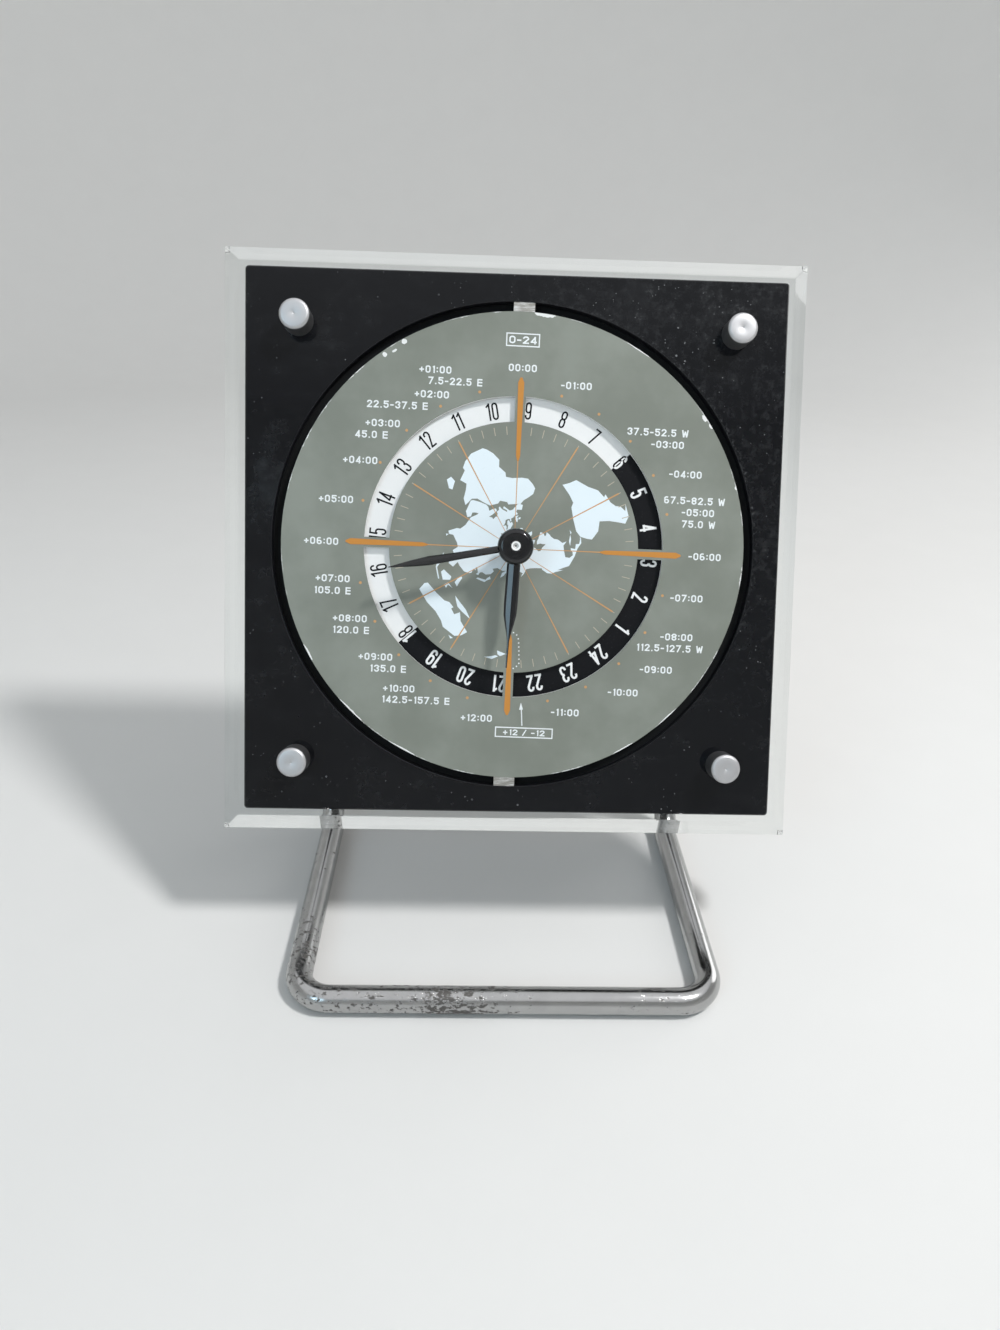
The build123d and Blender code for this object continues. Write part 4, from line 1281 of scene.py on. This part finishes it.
class CLOCK_OT_dial_marks(ClockPiece, bpy.types.Operator):
    """Prints the quarter bars, two-hour lines, minute ticks and hour dots on the dial"""

    bl_idname = "clock.dial_marks"
    bl_label = "Dial marks"

    # Thickness of each kind of mark, in coats of print, so that the upper ones cover the lower
    coats = {"quarter_bars": 2.5, "two_hour_lines": 2.0, "minute_ticks": 1.5, "hour_dots": 1.0}

    def execute(self, context):
        sizes = context.scene.clock_sizes
        half_in, half_out = sizes.bar_inner_width / 2, sizes.bar_width / 2
        half_line, half_tick = sizes.line_width / 2, sizes.tick_width / 2
        foot, head, point, blunt = sizes.bar_inner, sizes.bar_outer, sizes.bar_point, 0.3 * half_out
        bar = [(half_line, foot - point), (half_in, foot), (half_out, head - point), (blunt, head)]
        self.marks(sizes, "quarter_bars", "bar_orange", 4, self.both_sides(bar))
        line = [(half_line / 3, sizes.line_inner), (half_line, sizes.line_outer)]
        self.marks(sizes, "two_hour_lines", "line_orange", 12, self.both_sides(line))
        tick = [(half_tick, sizes.tick_inner), (half_tick, sizes.tick_outer)]
        self.marks(sizes, "minute_ticks", "tick_tan", 60, self.both_sides(tick))
        dot = [(x, z) for x, _, z in ring(sizes.dot_radius, 0.0, steps=16)]
        self.marks(sizes, "hour_dots", "line_orange", 24, dot, sizes.dot_at)
        return {"FINISHED"}

    def both_sides(self, right):
        """A mark's outline from the points of its right side, from the arbor outwards."""
        return right + [(-x, z) for x, z in reversed(right)]

    def marks(self, sizes, name, finish, count, outline, radius=0.0):
        mark = flat_mark(outline, DIAL_FRONT, self.coats[name] * sizes.print_thick)
        mesh = repeated(mark, finish, count, 2 * math.pi / count, radius, sizes.dial_turn)
        add_piece(name, mesh, finish, "clock", "dial_paint")


class CLOCK_OT_map(ClockPiece, bpy.types.Operator):
    """Prints the map of the world, seen from above the north pole with the meridian at the top"""

    bl_idname = "clock.map"
    bl_label = "World map"

    def execute(self, context):
        sizes = context.scene.clock_sizes
        scale = sizes.degree_of_latitude / MM
        lands = []
        for outline in LANDS.values():
            points = []
            for longitude, latitude in outline:
                reach = (90.0 - latitude) * scale
                way = math.radians(longitude)
                points.append((-reach * math.sin(way), reach * math.cos(way)))
            lands.append(sheet([points], sizes.print_thick))
        mesh = printed(joined(lands), DIAL_FRONT, sizes.dial_turn, sizes.print_thick)
        add_piece("world_map", mesh, "map_white", "clock", "dial_paint")
        return {"FINISHED"}


class CLOCK_OT_labels(ClockPiece, bpy.types.Operator):
    """Prints the hour labels, the two boxed figures and the date line"""

    bl_idname = "clock.labels"
    bl_label = "Labels"

    # Width, line and gap of the figures, as shares of their height
    plain_figures = (0.7, 0.19, 0.2)
    boxed_figures = (0.84, 0.2, 0.2)
    # Boxed figures, with the place, width and height of their boxes in mm
    boxes = (("0-24", 0.0, 45.85, 7.5, 2.95), ("+12 / -12", 4.05, -41.6, 13.2, 2.4))
    box_line = 0.26
    box_fill = 0.56
    # The arrow to the date line and the line's dots, in mm
    arrow_shaft = ((3.25, -36.2), (3.55, -40.0))
    arrow_tip = ((2.72, -36.4), (3.62, -36.3), (3.1, -34.7))
    arrow_line = 0.24
    dot_radius = 0.17

    def execute(self, context):
        sizes = context.scene.clock_sizes
        thick = sizes.print_thick
        height = sizes.label_height / MM
        prints = [placed(figures(words, height, *self.plain_figures), x, y) for words, x, y in LABELS]
        for words, x, y, width, box_height in self.boxes:
            prints.append(placed(self.box(width, box_height), x, y))
            prints.append(placed(figures(words, box_height * self.box_fill, *self.boxed_figures), x, y))
        prints.append([*stroke(self.arrow_shaft, self.arrow_line), self.arrow_tip])
        prints += [[arc(x, y, self.dot_radius, self.dot_radius, 0, 330)] for x, y in DATE_LINE]
        whole = joined([sheet(outlines, thick) for outlines in prints])
        mesh = printed(whole, DIAL_FRONT, sizes.dial_turn, thick)
        add_piece("dial_labels", mesh, "label_white", "clock", "dial_paint")
        return {"FINISHED"}

    def box(self, width, height):
        """Outlines of a thin frame."""
        half_w, half_h = (width - self.box_line) / 2, (height - self.box_line) / 2
        corners = [(-half_w, -half_h), (half_w, -half_h), (half_w, half_h), (-half_w, half_h)]
        return stroke(corners, self.box_line, closed=True)


class CLOCK_OT_day_ring(ClockPiece, bpy.types.Operator):
    """Prints the night half and the 24 numerals on the day ring"""

    bl_idname = "clock.day_ring"
    bl_label = "Day ring"

    sunrise = 6
    sunset = 18
    # Width of the figures by day and by night and the gap between them, as shares of their height
    day_width = 0.36
    night_width = 0.4
    gap = 0.1
    # How far the night's print runs on under the edges of the dial's window
    margin = 1.2 * MM

    def execute(self, context):
        sizes = context.scene.clock_sizes
        thick = sizes.print_thick
        split = self.angle_of(sizes, self.sunrise)
        mesh = printed(sheet([self.night(sizes)], thick), RING_FRONT, split, thick)
        add_piece("night_half", mesh, "ring_black", "day_ring", "ring_print")
        day, painted_dark = [], []
        for hour in range(1, 25):
            if hour == self.sunrise:
                day.append(self.half_of(self.numeral(sizes, hour, True), split, -1))
                painted_dark.append(self.half_of(self.numeral(sizes, hour, False), split, 1))
            elif hour == self.sunset:
                first, last = str(hour)
                day.append(self.numeral(sizes, hour, True, last, 1))
                painted_dark.append(self.numeral(sizes, hour, False, first, -1))
            elif self.sunrise < hour < self.sunset:
                day.append(self.numeral(sizes, hour, True))
            else:
                painted_dark.append(self.numeral(sizes, hour, False))
        self.numerals(sizes, "day_numerals", day, "ring_black")
        self.numerals(sizes, "night_numerals", painted_dark, "ring_print")
        return {"FINISHED"}

    def angle_of(self, sizes, hour):
        return math.radians((sizes.numeral_reading - hour) * 15.0)

    def night(self, sizes):
        """Outline of half a ring, in mm."""
        steps = sizes.round_steps // 2
        sweep = [math.pi * step / steps for step in range(steps + 1)]
        inner, outer = (sizes.window_inner - self.margin) / MM, (sizes.window_outer + self.margin) / MM
        outside = [(outer * math.sin(angle), outer * math.cos(angle)) for angle in sweep]
        return outside + [(inner * math.sin(angle), inner * math.cos(angle)) for angle in reversed(sweep)]

    def numeral(self, sizes, hour, by_day, figure=None, side=0):
        """An hour's numeral on the ring, or one figure of it at one side of its middle."""
        height, radius, angle = sizes.numeral_height / MM, sizes.numeral_at / MM, self.angle_of(sizes, hour)
        line, width = (sizes.day_line, self.day_width) if by_day else (sizes.night_line, self.night_width)
        words = figure or str(hour)
        outlines = figures(words, height, width, line, self.gap)
        shift = side * height * (self.gap + width * FIGURE_WIDTHS.get(words, 1.0)) / 2
        outlines = placed(outlines, shift, 0.0)
        outlines = placed(outlines, radius * math.sin(angle), radius * math.cos(angle), angle)
        return sheet(outlines, sizes.print_thick)

    def numerals(self, sizes, name, parts, finish):
        """Lays numerals of one colour half a coat higher than the night half."""
        thick = sizes.print_thick
        mesh = printed(joined(parts), RING_FRONT - thick / 2, 0.0, thick)
        add_piece(name, mesh, finish, "day_ring", "ring_print")

    def half_of(self, mesh, split, side):
        """What of a numeral lies on one side of the line between day and night."""
        across = Vector((math.cos(split), -math.sin(split), 0.0)) * side
        work = bmesh.new()
        work.from_mesh(mesh)
        everything = work.verts[:] + work.edges[:] + work.faces[:]
        bmesh.ops.bisect_plane(work, geom=everything, plane_co=(0, 0, 0), plane_no=across, clear_inner=True)
        bmesh.ops.holes_fill(work, edges=[edge for edge in work.edges if edge.is_boundary])
        half = bpy.data.meshes.new("half")
        work.to_mesh(half)
        work.free()
        return half


class CLOCK_OT_hands(ClockPiece, bpy.types.Operator):
    """Makes the two ridged hands and the hub"""

    bl_idname = "clock.hands"
    bl_label = "Hands and hub"

    # The blades' outlines, as distances from the arbor in mm and shares of the widest width
    hour_blade = ((1.9, 0.9), (4.0, 0.98), (13.0, 1.0), (15.0, 0.94), (17.0, 0.66), (19.0, 0.35))
    minute_blade = (
        (1.9, 0.76), (12.0, 0.8), (16.0, 0.91), (19.0, 1.0), (22.0, 0.77), (24.0, 0.56), (26.0, 0.31),
    )
    needle_from = 0.6 * MM
    needle_width = 0.48 * MM
    needle_taper = 0.6
    minute_tip = 0.12 * MM
    # The blades' section: their thickness behind the front face, where a facet ends as a share of the width,
    # and how much steeper the edge is than the facet
    blade_back = 0.6 * MM
    facet_end = 0.35
    edge_steeper = 1.6
    # The collets and the hub
    collet_radius = 2.8 * MM
    hour_bore = 1.8 * MM
    minute_bore = 1.25 * MM
    hub_bore = 1.26 * MM
    ease = 0.1 * MM

    def execute(self, context):
        sizes = context.scene.clock_sizes
        tip = sizes.hour_length + sizes.hour_needle
        needle = [
            (sizes.hour_length + self.needle_from, self.needle_width),
            (tip, self.needle_width * self.needle_taper),
        ]
        blade = self.blade(self.hour_blade, sizes.hour_width, needle, HOUR_FRONT, sizes.ridge_rise)
        collet = self.collet(HOUR_FRONT, HOUR_BACK, self.hour_bore)
        self.hand("hour_hand", blade, collet, sizes.hour_angle)
        point = [(sizes.minute_length, self.minute_tip)]
        blade = self.blade(self.minute_blade, sizes.minute_width, point, MINUTE_FRONT, sizes.ridge_rise)
        collet = self.collet(MINUTE_FRONT, MINUTE_BACK, self.minute_bore)
        self.hand("minute_hand", blade, collet, sizes.minute_angle)
        self.hub(sizes)
        self.arbor_end()
        return {"FINISHED"}

    def blade(self, outline, widest, end, front, rise):
        """A blade of two facets that meet in a straight ridge, up its outline to the stations of its end."""
        stations = [(distance * MM, share * widest) for distance, share in outline] + end
        slope = 2 * rise / max(width for _, width in stations)
        crown, back = front - rise, front + self.blade_back
        loops = []
        for distance, width in stations:
            half, facet = width / 2, self.facet_end * width
            edge, step = crown + self.edge_steeper * slope * half, crown + slope * facet
            right = [(facet, step), (half, edge), (half, back)]
            left = [(-x, y) for x, y in reversed(right)]
            loops.append([(x, y, distance) for x, y in [*left, (0.0, crown), *right]])
        return tidied(skin(loops))

    def collet(self, front, back, bore):
        outer, ease = self.collet_radius, self.ease
        profile = [
            (bore, front),
            (outer - ease, front),
            (outer, front + ease),
            (outer, back - ease),
            (outer - ease, back),
            (bore, back),
        ]
        return tidied(lathe(profile, steps=48, closed=True), smooth=30)

    def hand(self, node, blade, collet, angle):
        blade.transform(Matrix.Rotation(angle, 4, "Y"))
        mesh = on_head(joined([blade, collet]))
        add_piece(f"{node}_ridged", mesh, "hand_black", node, "hand_black", node)

    def hub(self, sizes):
        """A cap whose face falls away to its side in a quarter of an ellipse."""
        radius, shoulder, front, back = sizes.hub_radius, sizes.hub_shoulder, CAP[0].y, CAP[1].y
        bore, ease, steps = self.hub_bore, self.ease, 8
        fall = back - front - 3 * ease
        profile = [(bore, back), (radius - ease, back), (radius, back - ease)]
        for step in range(steps + 1):
            angle = math.pi / 2 * step / steps
            inward = shoulder * (1 - math.cos(angle))
            profile.append((radius - inward, front + fall * (1 - math.sin(angle))))
        profile += [(radius - shoulder - 2 * ease, front + 0.2 * ease), (bore, front + ease)]
        mesh = on_head(tidied(lathe(profile, steps=96, closed=True), smooth=40))
        add_piece("hub_dome", mesh, "hand_black", "minute_hand", "black_gloss", "hub_cap")

    def arbor_end(self):
        """The bright end of the arbor, a drilled and chamfered ring."""
        front = head_box("cannon_arbor")[0].y
        proud, back = front - 0.02 * MM, front + 0.5 * MM
        outer, rim, dish, hole = 1.22 * MM, 0.96 * MM, 0.62 * MM, 0.1 * MM
        profile = [
            (hole, back),
            (outer, back),
            (outer, front + 0.2 * MM),
            (rim, proud),
            (dish, proud),
            (2 * hole, front + 0.12 * MM),
            (hole, front + 0.3 * MM),
        ]
        mesh = on_head(tidied(lathe(profile, steps=64, closed=True), smooth=30))
        add_piece("arbor_end", mesh, "train_brass", "minute_hand", "train_brass")


class CLOCK_OT_stand(ClockPiece, bpy.types.Operator):
    """Bends the stand from one length of rod"""

    bl_idname = "clock.stand"
    bl_label = "Wire stand"

    def execute(self, context):
        sizes = context.scene.clock_sizes
        rod = sizes.rod_radius
        side, low, high = STAND[1].x - rod, STAND[0].z + rod, STAND[1].z - rod
        front, back = STAND[0].y + rod, STAND[1].y - rod
        points = [vertex.co for vertex in frame["nodes"]["wire_stand"].data.vertices]
        inner = min(abs(point.x) for point in points if point.z > high)
        left = [(-inner, back, high), (-side, back, high), (-side, back, low), (-side, front, low)]
        route = left + [(-x, y, z) for x, y, z in reversed(left)]
        path = bpy.data.meshes.new("rod_path")
        path.from_pydata(route, [(step, step + 1) for step in range(len(route) - 1)], [])
        shape = {"rod_radius": rod, "bend_radius": sizes.bend_radius, "bend_steps": 16, "sides": 48}
        mesh = from_tree(bent_rod(), path, finish=finished("worn_chrome"), **shape)
        add_piece("stand_rod", tidied(mesh, smooth=40), "worn_chrome", "clock", "chromed_rod", "wire_stand")
        return {"FINISHED"}


class CLOCK_OT_stage(ClockPiece, bpy.types.Operator):
    """Sets the floor, the lights, the world and the camera"""

    bl_idname = "clock.stage"
    bl_label = "Stage"

    # The lamps' ways from the dial, their distances and widths in metres, watts and tints
    lamps = {
        "key_lamp": ((0.50, -0.24, 0.83), 0.8, 0.12, 4.5, (1.0, 1.0, 1.0)),
        "fill_lamp": ((-0.52, -0.75, 0.42), 0.95, 0.36, 1.3, (0.55, 0.82, 1.0)),
        "back_lamp": ((0.80, 0.52, 0.30), 0.95, 0.5, 1.2, (1.0, 1.0, 1.0)),
    }

    def execute(self, context):
        self.floor(context)
        for name, lamp in self.lamps.items():
            self.lamp(context, name, *lamp)
        self.world(context)
        self.camera(context)
        context.scene.view_settings.view_transform = "Standard"
        return {"FINISHED"}

    def floor(self, context):
        """A round floor that sweeps up into a backdrop on every side."""
        wall_at, bend, top, steps, bend_steps = 1.15, 0.45, 0.9, 96, 16
        profile = [(0.02, 0.0), (0.3, 0.0), (wall_at - bend, 0.0)]
        for step in range(1, bend_steps + 1):
            angle = math.pi / 2 * step / bend_steps
            profile.append((wall_at - bend + bend * math.sin(angle), bend - bend * math.cos(angle)))
        profile.append((wall_at, top))
        points = [(x, z, height) for radius, height in profile for x, _, z in ring(radius, 0.0, steps)]
        middle = tuple(reversed(range(steps)))
        faces = [middle, *bands(steps, [(level, level + 1) for level in range(len(profile) - 1)])]
        mesh = bpy.data.meshes.new("studio_floor")
        mesh.from_pydata(points, [], faces)
        mesh.polygons.foreach_set("use_smooth", [True] * len(mesh.polygons))
        mesh.materials.append(finished("studio_floor"))
        floor = bpy.data.objects.new("studio_floor", mesh)
        context.scene.collection.objects.link(floor)

    def lamp(self, context, name, towards, distance, size, watts, tint):
        light = bpy.data.lights.new(name, "AREA")
        light.color = tint
        light.shape = "DISK"
        light.size = size
        light.energy = watts
        lamp = bpy.data.objects.new(name, light)
        way = Vector(towards).normalized()
        lamp.location = DIAL_CENTRE + way * distance
        lamp.rotation_euler = way.to_track_quat("Z", "Y").to_euler()
        context.scene.collection.objects.link(lamp)

    def world(self, context):
        """Even studio light, a little brighter above, with a white ceiling where metal and glass show it."""
        world = bpy.data.worlds.new("studio")
        world.use_nodes = True
        graph = Graph(world.node_tree)
        graph.tree.nodes.clear()
        way = graph.node("ShaderNodeTexCoord", out="Generated")
        height = graph.node("ShaderNodeSeparateXYZ", {"Vector": way}, out="Z")
        light = height.rise(0.2, 0.9) * 0.15 + 0.33
        ray = graph.node("ShaderNodeLightPath", out="Is Camera Ray")
        shown = (ray + ray.of("Is Glossy Ray") + ray.of("Is Transmission Ray")).clamped()
        light = light + shown * height.rise(0.5, 0.8) * (1.0 - light)
        strength = graph.node("ShaderNodeBackground", {"Color": (0.97, 0.985, 1.0, 1.0), "Strength": light})
        output = graph.tree.nodes.new("ShaderNodeOutputWorld")
        graph.tree.links.new(strength.socket, output.inputs["Surface"])
        context.scene.world = world

    def camera(self, context):
        """The photograph's view, from its place round the dial's centre, its turns and its focal length."""
        place = Vector((-9.28, -191.3, 69.42)) * MM
        yaw, pitch, roll = (math.radians(angle) for angle in (2.119, 27.335, -2.098))
        focal_pixels, image_pixels, sensor = 900.0, 1000.0, 36.0
        forward = Vector((math.sin(yaw) * math.cos(pitch), math.cos(yaw) * math.cos(pitch), -math.sin(pitch)))
        level = Vector((math.cos(yaw), -math.sin(yaw), 0.0))
        down = forward.cross(level)
        right = level * math.cos(roll) + down * math.sin(roll)
        up = level * math.sin(roll) - down * math.cos(roll)
        lens = bpy.data.cameras.new("photo_camera")
        lens.sensor_fit = "HORIZONTAL"
        lens.sensor_width = sensor
        lens.lens = focal_pixels / image_pixels * sensor
        lens.clip_start = 0.01
        camera = bpy.data.objects.new("photo_camera", lens)
        turned = Matrix((right, up, -forward)).transposed().to_4x4()
        camera.matrix_world = Matrix.Translation(DIAL_CENTRE + place) @ turned
        context.scene.collection.objects.link(camera)
        context.scene.camera = camera


class CLOCK_PT_pieces(bpy.types.Panel):
    """Lists the clock's pieces in the sidebar"""

    bl_idname = "CLOCK_PT_pieces"
    bl_label = "World time clock"
    bl_space_type = "VIEW_3D"
    bl_region_type = "UI"
    bl_category = "Clock"

    def draw(self, context):
        for operator in OPERATORS:
            self.layout.operator(operator.bl_idname)
        for group in (context.scene.clock_sizes, context.scene.clock_colours):
            for name in group.__annotations__:
                self.layout.prop(group, name)


OPERATORS = (
    CLOCK_OT_construction,
    CLOCK_OT_plates,
    CLOCK_OT_mouldings,
    CLOCK_OT_studs,
    CLOCK_OT_dial_marks,
    CLOCK_OT_map,
    CLOCK_OT_labels,
    CLOCK_OT_day_ring,
    CLOCK_OT_hands,
    CLOCK_OT_stand,
    CLOCK_OT_stage,
)
CLASSES = (ClockSizes, ClockColours, *OPERATORS, CLOCK_PT_pieces)


def register():
    for each in CLASSES:
        bpy.utils.register_class(each)
    bpy.types.Scene.clock_sizes = PointerProperty(type=ClockSizes)
    bpy.types.Scene.clock_colours = PointerProperty(type=ClockColours)


def unregister():
    del bpy.types.Scene.clock_colours
    del bpy.types.Scene.clock_sizes
    for each in reversed(CLASSES):
        bpy.utils.unregister_class(each)


def main():
    register()
    for operator in OPERATORS:
        family, name = operator.bl_idname.split(".")
        getattr(getattr(bpy.ops, family), name)()


if __name__ == "__main__":
    main()
